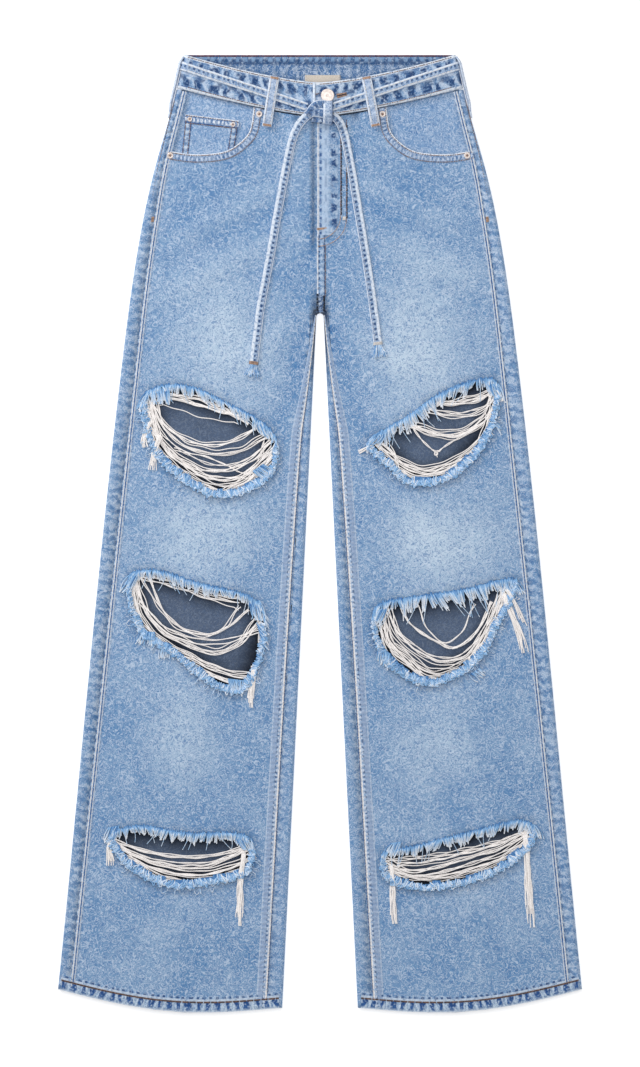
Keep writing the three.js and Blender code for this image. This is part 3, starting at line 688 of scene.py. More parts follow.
def rope_at(x, down):
    """How much the cloth ropes: near the side seam, the inseam and the seams at the centre."""
    away = abs(x)
    to_side = abs(side_seam(down) - away)
    near = 0.55 * math.exp(-(to_side / 7) ** 2)
    if away > side_seam(down):
        near = max(near, 0.3)
    inner = inner_fold(down) + inseam_in(down) if down > CROTCH else 0
    return max(near, 0.5 * math.exp(-((away - inner) / 6) ** 2))


def gap_half(down):
    return inner_fold(down) if down > CROTCH else 0


def painted_shade_at(x, down, outline):
    """Painted shade beside the fly's edge, round the crotch, along the gap between the legs, close round a rip and
    between the puckers under the waistband.
    """
    shade_beside_fly = 0.55 * math.exp(-((x + 7.5) / 2.4) ** 2) * smooth(down, 60, 80) * (1 - smooth(down, 205, 230))
    crotch = 0.9 * (1 - smooth(abs(x), 6, 12)) * smooth(down, 250, 300) * (1 - smooth(down, 300, 330))
    edge = 0.85 * (1 - smooth(abs(x) - gap_half(down), 1.5, 5.5)) * (1 - smooth(down, 310, 400)) if down > CROTCH else 0
    below_band = down - band_bottom(x)
    wave = smooth(math.sin(x / 2.7 + 1.6 * math.sin(x / 11)), 0.2, 1.0)
    pucker = 0.4 * wave * (1 - smooth(below_band, 3, 15)) * (1 - smooth(abs(x), 60, 70))
    shadow_round_rip = 0
    if outline:
        near = min((p.x - x) ** 2 + (p.y - down) ** 2 for p in outline) ** 0.5
        shadow_round_rip = 0.2 * (1 - smooth(near, 3, 12))
    return clamp(max(shade_beside_fly, crotch, edge, shadow_round_rip, pucker))


def skin_of(name):
    mesh = bmesh.new()
    mesh.from_mesh(nodes[name].data)
    bmesh.ops.remove_doubles(mesh, verts=mesh.verts, dist=0.00002)
    mesh.normal_update()
    under = [face for face in mesh.faces if face.normal.z < 0.5]
    bmesh.ops.delete(mesh, geom=under, context="FACES")
    for vert in mesh.verts:
        vert.co.z = 0
    bmesh.ops.dissolve_limit(mesh, angle_limit=0.02, verts=mesh.verts, edges=mesh.edges)
    return mesh


def net_cut(mesh, cell):
    for axis in (0, 1):
        low = min(vert.co[axis] for vert in mesh.verts)
        high = max(vert.co[axis] for vert in mesh.verts)
        normal = Vector((1, 0, 0)) if axis == 0 else Vector((0, 1, 0))
        for i in range(1, int((high - low) / (cell * MM)) + 1):
            at = normal * (low + i * cell * MM)
            everything = mesh.verts[:] + mesh.edges[:] + mesh.faces[:]
            bmesh.ops.bisect_plane(mesh, geom=everything, plane_co=at, plane_no=normal, dist=0.00001)


def lay_on_front(mesh, outline, drop=0.0):
    fade = mesh.verts.layers.float.new("fade")
    rope = mesh.verts.layers.float.new("rope")
    painted_shade = mesh.verts.layers.float.new("painted_shade")
    for vert in mesh.verts:
        x, down = vert.co.x / MM, TOP - vert.co.y / MM
        vert.co.z = (front_height(x, down) - drop) * MM
        vert[fade] = fade_at(x, down)
        vert[rope] = rope_at(x, down)
        # Painted shade: how far this point's colour is darkened, as if it lay in shadow.
        vert[painted_shade] = painted_shade_at(x, down, outline)


def hole_loops(mesh):
    """The outlines of the holes in a flat skin: every border loop but the longest."""
    edges = {edge for edge in mesh.edges if len(edge.link_faces) == 1}
    loops = []
    while edges:
        edge = edges.pop()
        loop = [edge.verts[0], edge.verts[1]]
        while loop[-1] is not loop[0]:
            onward = [e for e in loop[-1].link_edges if e in edges]
            if not onward:
                break
            edges.discard(onward[0])
            loop.append(onward[0].other_vert(loop[-1]))
        loops.append([Vector((v.co.x / MM, TOP - v.co.y / MM)) for v in loop[:-1]])
    loops.sort(key=lambda loop: max(p.y for p in loop) - min(p.y for p in loop))
    return sorted(loops[:-1], key=lambda loop: loop[0].y)


rips = {}
DENIM_WALL = 1.2
for side_name in ("right", "left"):
    skin = skin_of(f"front_leg_{side_name}")
    rips[side_name] = hole_loops(skin)
    net_cut(skin, CELL)
    lay_on_front(skin, [p for rip in rips[side_name] for p in rip])
    flip_if_needed(skin, lambda c: Vector((0, 0, 1)))
    leg = finished(f"front_leg_cloth_{side_name}", skin, [denim, shaded_denim_inside], [f"front_leg_{side_name}"])
    walled(leg, DENIM_WALL, 1)
    print(leg.name, len(leg.data.polygons), "faces, rips:", [len(r) for r in rips[side_name]])

# %% [markdown]
# The back legs lie on the floor and curl round both edges of the leg to their seams on the
# front. The same rows run from the waist to the hem; below the crotch each row starts at the
# inseam and goes round the inner fold first.

# %% Back legs and yokes
SIDE_AT_TURN = 286
YOKE_CENTRE = 122
YOKE_SIDE = 88
SEAM = 0.15
BAND_SEAM = 1.6
FOLD_STEPS = 10
FLAT_STEPS = 34


def fold_point(side, x, down, into, angle, z):
    s, c = math.sin(math.radians(angle)), math.cos(math.radians(angle))
    reach = FOLD * (1 + c)
    return place(side * (x + into[0] * reach), down + into[1] * reach, z + FOLD * (1 + s))


def back_row(side, start, side_down, belly, inner):
    """A row's places, from its inner end to the side seam on the front."""
    end = side_fold(side_down) - FOLD
    row = list(inner)
    for k in range(1, FLAT_STEPS):
        across = k / FLAT_STEPS
        down = lerp(start[1], side_down, across) + belly(across)
        x = lerp(start[0], end, across)
        trough = max(0, crease_height(-side * x, down)) * math.sin(math.pi * across)
        row.append(place(side * x, down, lift(down) + 0.8 * trough))
    for k in range(FOLD_STEPS + 1):
        angle = 270 - 180 * k / FOLD_STEPS
        row.append(fold_point(side, side_fold(side_down), side_down, (-1, 0), angle, lift(side_down)))
    row.append(place(side * (side_seam(side_down) + SEAM), side_down, lift(side_down) + 2 * FOLD))
    return row


def body_row(side, centre_down, side_down):
    return back_row(side, (SEAM, centre_down), side_down, lambda a: 0,
                    [None] * (FOLD_STEPS + 1) + [place(side * SEAM, centre_down, lift(centre_down))])


def leg_row(side, fold_x, fold_down, into, side_down, step):
    inset = inseam_in(fold_down) - SEAM
    edge = place(side * (fold_x + inset * into[0]), fold_down + inset * into[1], 2 * FOLD)
    folds = [fold_point(side, fold_x, fold_down, into, 90 + 180 * k / FOLD_STEPS, 0) for k in range(FOLD_STEPS + 1)]
    start = (fold_x + FOLD * into[0], fold_down + FOLD * into[1])
    return back_row(side, start, side_down, lambda a: HEM_BULGE * math.sin(math.pi * a) * step, [edge] + folds)


def rip_distance(vert, torn):
    """How far a place is from the nearest rip outline, seen from above."""
    _, _, away = torn.find((vert.co.x / MM, TOP - vert.co.y / MM + 3, 0))
    return away


def rows_to_mesh(rows):
    """Cloth from rows of places: a bmesh grid carried to them, without the cells that have none."""
    columns = len(rows[0])
    mesh = bmesh.new()
    bmesh.ops.create_grid(mesh, x_segments=columns - 1, y_segments=len(rows) - 1, size=0.5)
    layer = mesh.loops.layers.uv.new("run")
    fade = mesh.verts.layers.float.new("fade")
    rope = mesh.verts.layers.float.new("rope")
    painted_shade = mesh.verts.layers.float.new("painted_shade")
    painted_rip_shade = mesh.verts.layers.float.new("painted_rip_shade")
    outline = [p for rip in rips["right"] + rips["left"] for p in rip]
    torn = KDTree(len(outline))
    for i, p in enumerate(outline):
        torn.insert((p.x, p.y, 0), i)
    torn.balance()
    missing = []
    for vert in mesh.verts:
        c = round((vert.co.x + 0.5) * (columns - 1))
        r = round((vert.co.y + 0.5) * (len(rows) - 1))
        at = rows[r][c]
        if at is None:
            missing.append(vert)
            continue
        vert.co = at
        vert[fade] = fade_at(at.x / MM, TOP - at.y / MM)
        x, down = at.x / MM, TOP - at.y / MM
        on_front = at.z > FOLD * MM
        vert[rope] = rope_at(x, down) if on_front else 0
        # Painted shade on the front part of the back leg, as on the front legs.
        vert[painted_shade] = painted_shade_at(x, down, ()) if on_front else 0
        # Painted shade: the back leg's inner face darkens near a rip, as the shade inside the hole.
        vert[painted_rip_shade] = 0 if on_front else clamp(1 - rip_distance(vert, torn) / 45)
    bmesh.ops.delete(mesh, geom=missing, context="VERTS")
    # Cells near a rip are split finer, and the painted shade there is worked out again on them.
    close = [edge for edge in mesh.edges if min(vert[painted_rip_shade] for vert in edge.verts) > 0]
    bmesh.ops.subdivide_edges(mesh, edges=close, cuts=1, use_grid_fill=True)
    for vert in mesh.verts:
        vert[painted_rip_shade] = 0.94 * (1 - smooth(rip_distance(vert, torn), 5, 33))
    for face in mesh.faces:
        for loop in face.loops:
            loop[layer].uv = (loop.vert.co.y / MM, loop.vert.co.x / MM)
    return mesh


def outwards(centre):
    return Vector((0, 0, 1)) if centre.z > 1.6 * FOLD * MM else Vector((0, 0, -1))


for side_name, side in (("right", -1), ("left", 1)):
    rows = [body_row(side, lerp(YOKE_CENTRE + SEAM, CROTCH - FOLD, k / 28), lerp(YOKE_SIDE + SEAM, SIDE_AT_TURN, k / 28))
            for k in range(28)]
    for k in range(7):
        angle = math.radians(90 * k / 6)
        s, c = math.sin(angle), math.cos(angle)
        rows.append(leg_row(side, SEAM + CROTCH_ROUND * s, CROTCH + CROTCH_ROUND * (1 - c), (s, -c),
                            SIDE_AT_TURN + 10 * k / 6, 0))
    for k in range(1, 111):
        step = k / 110
        down = lerp(CROTCH + CROTCH_ROUND, HEM_INNER, step)
        rows.append(leg_row(side, SEAM + inner_fold(down), down, (1, 0), lerp(SIDE_AT_TURN + 10, HEM_OUTER, step), step))
    mesh = rows_to_mesh(rows)
    flip_if_needed(mesh, outwards)
    back = finished(f"back_leg_cloth_{side_name}", mesh, [denim, shaded_denim_inside], [f"back_leg_{side_name}"])
    walled(back, DENIM_WALL, 1)
    yoke_rows = [body_row(side, lerp(BAND_HEIGHT + BAND_SEAM, YOKE_CENTRE - SEAM, k / 14),
                          lerp(BAND_HEIGHT + BAND_SEAM, YOKE_SIDE - SEAM, k / 14)) for k in range(15)]
    mesh = rows_to_mesh(yoke_rows)
    flip_if_needed(mesh, outwards)
    yoke = finished(f"yoke_cloth_{side_name}", mesh, [denim, shaded_denim_inside], [f"yoke_{side_name}"])
    walled(yoke, DENIM_WALL, 1)
    print(back.name, len(back.data.polygons), yoke.name, len(yoke.data.polygons))

# %% [markdown]
# The waistband is one strip all round, its left end lapped over the right. The front half
# hangs lower than the back, so the inside of the back shows above it. The belt is a second,
# narrower strip round the outside of it.

# %% Waistband and tie belt


def flared(x, down):
    spread = side_fold(max(0, down)) / WAIST_HALF - 1
    return x * (1 + spread * min(1.1, abs(x) / WAIST_HALF) ** 2)


def waist_path(start, end, radius, floor_z, front_z):
    """Places round the waist, from the right front round the back to the left front."""
    half = WAIST_HALF + radius - BAND_FOLD
    path = []
    for k in range(61):
        x = lerp(start, -(WAIST_HALF - BAND_FOLD), k / 60)
        path.append((x, front_z(x, -1), 1.0))
    for sign, sweep in ((-1, (80, -80)), (1, (-80, 80))):
        for k in range(13):
            angle = math.radians(lerp(sweep[0], sweep[1], k / 12))
            x = sign * (half - radius + radius * math.cos(angle))
            path.append((x, floor_z + radius * (1 + math.sin(angle)), (1 + math.sin(angle)) / 2))
        if sign < 0:
            for k in range(41):
                path.append((lerp(-(half - radius), half - radius, k / 40), floor_z, 0.0))
    for k in range(61):
        x = lerp(WAIST_HALF - BAND_FOLD, end, k / 60)
        path.append((x, front_z(x, 1), 1.0))
    return path


def strip_round_waist(path, edges, rows=8, pucker=0.0):
    lengths = [0.0]
    for a, b in zip(path, path[1:]):
        lengths.append(lengths[-1] + math.hypot(b[0] - a[0], b[1] - a[1]))

    def carry(u, v):
        i = round(u * (len(path) - 1))
        x, z, front = path[i]
        top, bottom = edges(x, front)
        down = lerp(top, bottom, v)
        wave = pucker * front * math.sin(math.pi * v) * math.sin(lengths[i] / 1.5 + 1.7 * v)
        return place(flared(x, down), down, z + wave), (lengths[i], (v - 0.5) * (bottom - top))

    return carried_grid(len(path) - 1, rows, carry)


def band_front(x, sign):
    return WAIST_LIFT + 2 * BAND_FOLD + band_swell(x) if sign < 0 else band_height(max(x, BAND_END_OVER + 0.01))


band_path = waist_path(BAND_END_UNDER, BAND_END_OVER, BAND_FOLD, WAIST_LIFT, band_front)
mesh = strip_round_waist(band_path, lambda x, front: (band_top(x) * front, band_top(x) * front + BAND_HEIGHT), 10, 0.16)
flip_if_needed(mesh, outwards)
band = finished("waistband_cloth", mesh, [band_denim, band_inside], ["waistband"])
walled(band, BAND_WALL, 1)

BELT_SIDE = 13
BELT_CENTRE = 60
BELT_END = 13.5
STRAP_WALL = 1.6
BELT_GAP = 0.5


def belt_down(x):
    return lerp(BELT_CENTRE, BELT_SIDE, clamp((abs(x) - BELT_END) / (WAIST_HALF - BELT_END)))


def belt_edges(x, front):
    middle = belt_down(x) if front > 0 else BELT_SIDE
    return middle - BELT_WIDTH / 2, middle + BELT_WIDTH / 2


belt_path = waist_path(-BELT_END, BELT_END, BAND_FOLD + 0.3 + STRAP_WALL, 0,
                       lambda x, sign: band_height(x) + BELT_GAP + STRAP_WALL)
mesh = strip_round_waist(belt_path, belt_edges, 6)
flip_if_needed(mesh, outwards)
belt = finished("tie_belt_cloth", mesh, [strap_denim], ["tie_belt"])
walled(belt, STRAP_WALL)
print("waistband", len(band.data.polygons), "belt", len(belt.data.polygons))

# %% [markdown]
# Straps are flat sewn tubes: full in the middle, rounded at the edges. A grid rolled round a
# flattened oval and carried along the strap's route gives that. Belt loops, the free ends of
# the tie and the knot's turns are all made this way.

# %% Straps


def rolled_strap(route, heights, width, thickness, around=14, edge_lift=0.0):
    """A closed flat tube along places on the cloth; heights are those of its middle."""
    run = [0.0]
    for a, b in zip(route, route[1:]):
        run.append(run[-1] + (b - a).length)

    def carry(u, v):
        i = round(u * (len(route) - 1))
        angle = math.tau * v
        s, c = math.sin(angle), math.cos(angle)
        oval = lambda t: math.copysign(abs(t) ** 0.62, t)
        reach = width / 2 * oval(c)
        at = route[i] + sideways(route, i) * reach
        z = heights[i] + thickness / 2 * oval(s) + edge_lift * abs(oval(c)) ** 3
        return place(at.x, at.y, z), (run[i], reach)

    mesh = carried_grid(len(route) - 1, around, carry)
    bmesh.ops.remove_doubles(mesh, verts=mesh.verts, dist=0.000002)
    bmesh.ops.holes_fill(mesh, edges=[e for e in mesh.edges if len(e.link_faces) == 1], sides=0)
    bmesh.ops.recalc_face_normals(mesh, faces=mesh.faces)
    return mesh


FRONT_LOOPS = {"right": [(-51, 25), (-60, 82)], "left": [(52, 25), (63, 82)]}
for side_name, ends in FRONT_LOOPS.items():
    route, _ = smooth_route(ends, 2.0)
    last = len(route) - 1
    base = band_height((ends[0][0] + ends[1][0]) / 2)
    heights = [base + 1.3 + 2.3 * smooth(i / last, 0.02, 0.2) * (1 - smooth(i / last, 0.78, 0.98)) for i in range(last + 1)]
    mesh = rolled_strap(route, heights, LOOP_WIDTH, 1.9)
    loop = finished(f"front_loop_cloth_{side_name}", mesh, [loop_denim], [f"front_loop_{side_name}"])

TIE_ENDS = {
    "right": [(-12.5, 68.5), (-16, 71), (-20, 75), (-24.5, 81), (-28.5, 89), (-31.5, 98), (-34.5, 110), (-37.5, 125),
              (-41, 143), (-45.5, 167), (-50, 192), (-55, 222), (-61, 254), (-67, 286), (-71, 318), (-75, 350)],
    "left": [(14, 69.5), (19, 73.5), (23.5, 80), (27.5, 91), (31, 108), (36, 134), (40, 158), (44, 182),
             (48, 206), (52, 231), (56, 257), (59.5, 282), (63, 308), (65.5, 328)],
}
tie_height = lambda x, down: max(front_height(x, max(down, 90)) + 1.6,
                                 band_height(x) + 1.3 if down < band_bottom(x) + 14 else 0)
ties = {}
for side_name, route in TIE_ENDS.items():
    fine, length = smooth_route(route, 2.5)
    heights = [tie_height(p.x, p.y) for p in fine]
    mesh = rolled_strap(fine, heights, BELT_WIDTH, 1.9)
    tie = finished(f"tie_end_cloth_{side_name}", mesh, [tie_denim[side_name]], [f"tie_end_{side_name}"])
    ties[side_name] = (tie, fine, heights, length)
    print(tie.name, round(length), "mm")

# %% [markdown]
# Yarn is a curve with a small round bevel. Thousands of them share one curve object, which is
# turned into a mesh at the end. The same helper makes stitches, fringe, weft threads and
# tassels.

# %% Yarn helper


def yarns(name, paths, radius, material, sides=0, replaces=(), shades=None):
    """Round yarns along paths. Shades give each yarn its paleness at the root and what it gains to the tip."""
    curve = bpy.data.curves.new(name, "CURVE")
    curve.dimensions = "3D"
    curve.bevel_depth = radius * MM
    curve.bevel_resolution = sides
    curve.use_fill_caps = shades is None
    for path in paths:
        spline = curve.splines.new("POLY")
        spline.points.add(len(path) - 1)
        spline.points.foreach_set("co", [c for p in path for c in (*p, 1)])
        spline.use_smooth = True
    drawn = bpy.data.objects.new(name + " drawn", curve)
    scene.collection.objects.link(drawn)
    bpy.context.view_layer.update()
    data = bpy.data.meshes.new_from_object(drawn.evaluated_get(bpy.context.evaluated_depsgraph_get()))
    bpy.data.objects.remove(drawn)
    bpy.data.curves.remove(curve)
    data.name = name
    data.materials.clear()
    data.materials.append(material)
    if shades:
        ring = len(data.vertices) // sum(len(path) for path in paths)
        worn = [root + gain * (i / (len(path) - 1)) ** power for path, (root, gain, power) in zip(paths, shades)
                for i in range(len(path)) for _ in range(ring)]
        data.attributes.new("along", "FLOAT", "POINT").data.foreach_set("value", worn)
    made = bpy.data.objects.new(name, data)
    scene.collection.objects.link(made)
    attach(made, "root")
    if replaces:
        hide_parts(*replaces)
    print(name, len(data.polygons), "faces")
    return made


# %% [markdown]
# Each free end of the tie is bound with a few turns of thread, and below that its yarns are
# teased out into a short tassel.

# %% Tassels on the tie
for side_name, (tie, fine, heights, length) in ties.items():
    end, before = fine[-1], fine[-4]
    run = (end - before).normalized()
    across = Vector((-run.y, run.x))
    strands = []
    for k in range(70):
        spread = rng.uniform(-1, 1)
        root = end + across * spread * 3.6
        reach = rng.uniform(10, 14.5)
        layer = rng.uniform(-0.7, 1.3)
        path = []
        for i in range(6):
            t = i / 5
            at = root + run * reach * t + across * spread * 5.2 * t ** 1.4
            path.append(place(at.x, at.y, heights[-1] + layer * (1 - 0.4 * t) + rng.uniform(-0.1, 0.1)))
        strands.append(path)
    tassel = yarns(f"tie_tassel_{side_name}", strands[:46], 0.42, pale_yarn, 0, [f"tassel_{side_name}"])
    core = yarns(f"tie_tassel_core_{side_name}", strands[46:], 0.42, blue_yarn)
    binding = []
    for k in range(4):
        centre = end - run * (0.6 + k * 0.9)
        loop_path = []
        for i in range(13):
            angle = math.tau * i / 12
            at = centre + across * math.cos(angle) * 5.0
            loop_path.append(place(at.x, at.y, heights[-1] + 1.25 * math.sin(angle)))
        binding.append(loop_path)
    bind = yarns(f"tie_binding_{side_name}", binding, 0.5, gold_thread if side_name == "right" else cream_thread)

# %% [markdown]
# Every seam on jeans is a ridge: cloth folded under and sewn down. A narrow swollen strip on
# top of the panels stands for those folds. Its UV map runs along it in millimetres, so one
# roped material with wear lines painted across it can serve any bend.

# %% Seam strips


def swollen_strip(name, route, width, material, height_at=front_height, above=0.15, swell=0.8, pucker=0.2,
                  pitch=7.0, step=1.8, replaces=(), up=1, mirror=1, widen=None):
    fine, length = smooth_route(route, step)

    def carry(u, v):
        i = round(u * (len(fine) - 1))
        t = 2 * v - 1
        share = widen(fine[i].y) if widen else 1
        at = fine[i] + sideways(fine, i) * share * width / 2 * t
        run = length * i / (len(fine) - 1)
        wave = pucker * math.sin(math.tau * (run + 3 * t) / pitch)
        rise = up * (above + (swell + wave) * (1 - t * t))
        return place(at.x, at.y, height_at(at.x, at.y) + rise), (run, mirror * width / 2 * t)

    mesh = carried_grid(len(fine) - 1, 8 if width > 10 else 6, carry)
    flip_if_needed(mesh, lambda c: Vector((0, 0, up)))
    return finished(name, mesh, [material], replaces)


def centre_front(down):
    return -2.5 * (1 - smooth(down, 215, CROTCH - 12))


def side_route(side, inward, first=BAND_HEIGHT + 4, last=HEM_OUTER - 1, steps=30):
    downs = [lerp(first, last, k / steps) for k in range(steps + 1)]
    return [(side * (side_seam(d) - inward), d) for d in downs]


def inseam_share(down):
    """The inseam's strip starts narrow at the crotch and is at its full width lower down."""
    return clamp((down - CROTCH + 12) / 150, 0.1, 1)


def inner_route(side, inward, first=CROTCH + 2, last=HEM_INNER - 1, steps=24):
    downs = [lerp(first, last, k / steps) for k in range(steps + 1)]
    return [(side * (max(inner_fold(d), CROTCH_ROUND * 0.4) + (inseam_in(d) + inward) * inseam_share(d)), d) for d in downs]


side_seam_denim = roped_material("side seam denim", 12, 0.25, fade=0.5, lines=[
    (-3.0, 0.8, NAVY, 0.9, 9), (-1.3, 0.8, WORN, 0.95), (0.2, 0.7, NAVY, 0.95), (1.7, 0.6, colour(196, 210, 230), 0.7),
    (3.1, 0.6, NAVY, 0.5, 11)])
inseam_denim = roped_material("inseam denim", 5.5, 0.3, fade=0.4, lines=[
    (-2.4, 2.6, colour(150, 168, 198), 0.7), (-6.0, 0.8, colour(190, 204, 224), 0.7), (0.8, 1.1, colour(60, 84, 124), 0.8, 5.8),
    (1.6, 0.9, colour(214, 222, 236), 0.8, 5.1), (3.9, 1.0, colour(232, 232, 236), 1.0), (5.4, 0.8, colour(34, 66, 116), 0.95)])
for side_name, side in (("right", -1), ("left", 1)):
    seam = swollen_strip(f"side_seam_{side_name}", side_route(side, 3.2), 6.6, side_seam_denim, swell=0.6, mirror=side)
    inseam = swollen_strip(f"inseam_{side_name}", inner_route(side, 6.4), 13.4, inseam_denim, swell=0.9, pucker=0.3,
                           pitch=5.5, mirror=side, widen=inseam_share)
    print(seam.name, inseam.name, len(inseam.data.polygons))

# %% [markdown]
# A hem is the leg's end turned up twice and sewn through. Washing twists it, so the folds lean
# and the ridges wear pale. It goes round each leg: over the front here, and under the back.

# %% Hems
HEM_HEIGHT = 12


def hem_route(side, up):
    xs = [lerp(INNER_AT_HEM + FOLD, HEM_HALF - FOLD, k / 24) for k in range(25)]
    return [(side * x, hem_down(x) - up) for x in xs]


under_height = lambda x, down: lift(down)
for side_name, side in (("right", -1), ("left", 1)):
    swollen_strip(f"hem_{side_name}", hem_route(side, HEM_HEIGHT / 2 + 0.3), HEM_HEIGHT, hem_denim,
                  swell=0.9, pucker=0.35, pitch=11, mirror=-side)
    swollen_strip(f"hem_fold_{side_name}", hem_route(side, HEM_HEIGHT + 3.2), 6.4, hem_top_denim,
                  swell=0.5, pucker=0.2, pitch=9, mirror=-side)
    swollen_strip(f"hem_under_{side_name}", hem_route(side, HEM_HEIGHT / 2 + 0.3), HEM_HEIGHT, hem_denim,
                  under_height, 0.05, 0.4, 0.1, 11, up=-1, mirror=-side)
    swollen_strip(f"yoke_seam_{side_name}", [(side * lerp(2, side_fold(YOKE_SIDE) - FOLD, k / 8),
                  lerp(YOKE_CENTRE, YOKE_SIDE, k / 8)) for k in range(9)], 8, side_seam_denim,
                  under_height, 0.05, 0.4, 0.1, 9, up=-1)
swollen_strip("seat_seam", [(0, d) for d in (BAND_HEIGHT + 4, 90, 150, 210, 260, CROTCH - 3)], 8, side_seam_denim,
              under_height, 0.05, 0.4, 0.1, 9, up=-1)

# %% [markdown]
# The front pocket's mouth is a turned edge with two rows of stitches. The same curve cuts the
# panel in the frame, so the strip follows it half its own width outside.

# %% Pockets
POCKET_MOUTH = [(75, 60), (79, 85), (89, 98), (104, 108), (124, 112), (150, 112), (184, 106)]
MOUTH_WIDTH = 10
FACING_DROP = 2.8
FACING_INNER = 68
FACING_END = 126
mouth_denim = roped_material("pocket mouth denim", 4.6, 0.2, deep=colour(52, 92, 144), pale=colour(104, 142, 184), fade=0.4, lean=0, lines=[
    (0.6, 2.2, colour(196, 212, 234), 0.85, 4.6), (-4.2, 1.4, WORN, 1.0), (3.9, 0.8, colour(150, 172, 200), 0.7)])


def beside(route, distance, step=3.0):
    """A route moved sideways by a distance."""
    fine, _ = smooth_route(route, step)
    return [tuple(p + sideways(fine, i) * distance) for i, p in enumerate(fine)]


def mouth_route(side, outward):
    moved = beside(POCKET_MOUTH, outward)
    return [(side * x, d) for x, d in moved if d > band_bottom(x) + 1 and x < side_seam(d) + 0.5]


def facing_height(x, down):
    return front_height(x, down, False) - FACING_DROP + 0.35 * crease_height(x * 1.3, down * 1.7 + 60)


for side_name, side in (("right", -1), ("left", 1)):
    def facing_place(u, v, side=side):
        side_down = lerp(BAND_HEIGHT + 2, FACING_END, v)
        x = lerp(FACING_INNER, side_seam(side_down) - 0.6, u)
        down = lerp(band_bottom(x) + 0.6, FACING_END, v)
        return place(side * x, down, facing_height(side * x, down)), (x, down)

    mesh = carried_grid(26, 18, facing_place)
    flip_if_needed(mesh, lambda c: Vector((0, 0, 1)))
    facing = finished(f"pocket_facing_cloth_{side_name}", mesh, [pocket_denim], [f"pocket_facing_{side_name}"])
    walled(facing, 1.0)
    swollen_strip(f"pocket_mouth_{side_name}", mouth_route(side, MOUTH_WIDTH / 2), MOUTH_WIDTH, mouth_denim,
                  swell=0.7, pucker=0.3, pitch=5.2, mirror=side)

COIN_POCKET = [(-152, 67), (-91, 75), (-98, 118), (-157, 118)]
coin_denim = roped_material("coin pocket denim", 5.0, 0.2, deep=colour(60, 100, 152), pale=colour(116, 150, 190), fade=0.4, lean=0, lines=[
    (0.3, 2.0, WORN, 0.9, 4.6), (-4.0, 0.9, WORN, 0.9), (4.3, 1.0, NAVY, 0.9), (-2.4, 0.7, NAVY, 0.6, 4)])
coin_side_denim = roped_material("coin pocket side denim", 9, 0.6, fade=0.5, lines=[
    (-3.5, 0.8, NAVY, 0.9), (3.5, 0.8, NAVY, 0.6), (0, 1.4, WORN, 0.35, 9)])


def coin_height(x, down):
    return facing_height(x, down) + 1.3


def coin_point(s, t):
    corner = [Vector(c) for c in COIN_POCKET]
    return corner[0].lerp(corner[1], s).lerp(corner[3].lerp(corner[2], s), t)


def coin_place(u, v):
    at = coin_point(u, v)
    return place(at.x, at.y, coin_height(at.x, at.y)), (at.x, at.y)


mesh = carried_grid(14, 10, coin_place)
flip_if_needed(mesh, lambda c: Vector((0, 0, 1)))
coin = finished("coin_pocket_cloth", mesh, [pocket_denim], ["coin_pocket"])
walled(coin, 1.0)
swollen_strip("coin_pocket_top", [tuple(coin_point(s, 0.10)) for s in (0, 0.5, 1)], 9.5, coin_denim, coin_height,
              swell=0.6, pucker=0.35, pitch=5.5)
for edge_name, at_edge in (("outer", 0.07), ("inner", 0.93)):
    swollen_strip(f"coin_pocket_side_{edge_name}", [tuple(coin_point(at_edge, t)) for t in (0.2, 0.6, 1)], 8, coin_side_denim,
                  coin_height, swell=0.45, pucker=0.25)

# %% [markdown]
# The fly is the wearer's left panel folded back and lapped over the right one. Its folded edge
# wears white, and the zip tape under it pushes up a puckered strip.

# %% Fly and centre seam
FLY_END = 215
PLACKET = colour(182, 202, 226)
fly_denim = roped_material("fly denim", 14, 0.25, fade=0.35, lean=0.6, lines=[
    (3.0, 4.6, PLACKET, 0.8), (8.2, 1.8, NAVY, 0.9, 9), (2.0, 1.4, NAVY, 0.35, 21), (-7.4, 3.5, colour(32, 68, 120), 0.95, 16),
    (-10.2, 1.3, PLACKET, 0.7, 15), (10.6, 1.3, EDGE, 1.0)])
centre_denim = roped_material("centre seam denim", 7, 0.3, fade=0.3, lines=[
    (-0.4, 1.5, PLACKET, 0.8, 9), (2.2, 1.1, LADDER, 0.95, 6), (3.9, 0.9, EDGE, 1.0), (-4.0, 0.7, LADDER, 0.8)])
# Painted shade: the centre seam's last stretch to the crotch is dark navy with near-black edges, for the shade where
# the legs part.
crotch_shade_denim = roped_material("crotch shade denim", 6, 0.2, deep=colour(26, 42, 70), pale=colour(70, 100, 144), fade=0.3, lines=[
    (-3.9, 1.5, colour(14, 20, 32), 0.95), (3.9, 1.5, colour(14, 20, 32), 0.95), (0.4, 0.8, colour(128, 156, 192), 0.8, 5)])
FLY_EDGE = -3.4
fly_route = [(FLY_EDGE + 12, d) for d in (74, 100, 130, 160, 190, 204)]
centre_route = [(FLY_EDGE + 4.6, d) for d in (203, 220, 240, 258, 272)]
crotch_route = [(0.9, d) for d in (270, 276, 282, CROTCH - 1)]
swollen_strip("fly_fold", fly_route, 24, fly_denim, swell=1.3, pucker=0.4, pitch=11)
swollen_strip("centre_seam", centre_route, 9.4, centre_denim, swell=1.0, pucker=0.3, pitch=8)
swollen_strip("crotch_seam", crotch_route, 9.8, crotch_shade_denim, swell=0.9, pucker=0.2, pitch=6)

# The band's own end, folded under, shows as a worn edge beside the button.
edge_denim = roped_material("band end denim", 6, 0.1, fade=0.9, lines=[(0, 1.6, EDGE, 1.0)])
swollen_strip("band_end_fold", [(-6.7, d) for d in (band_top(6.7) + 0.6, 36, 48, 60)], 3.0, edge_denim,
              lambda x, d: band_height(x) + 0.4, swell=0.9, pucker=0.05)
print("fly edge at", FLY_EDGE)

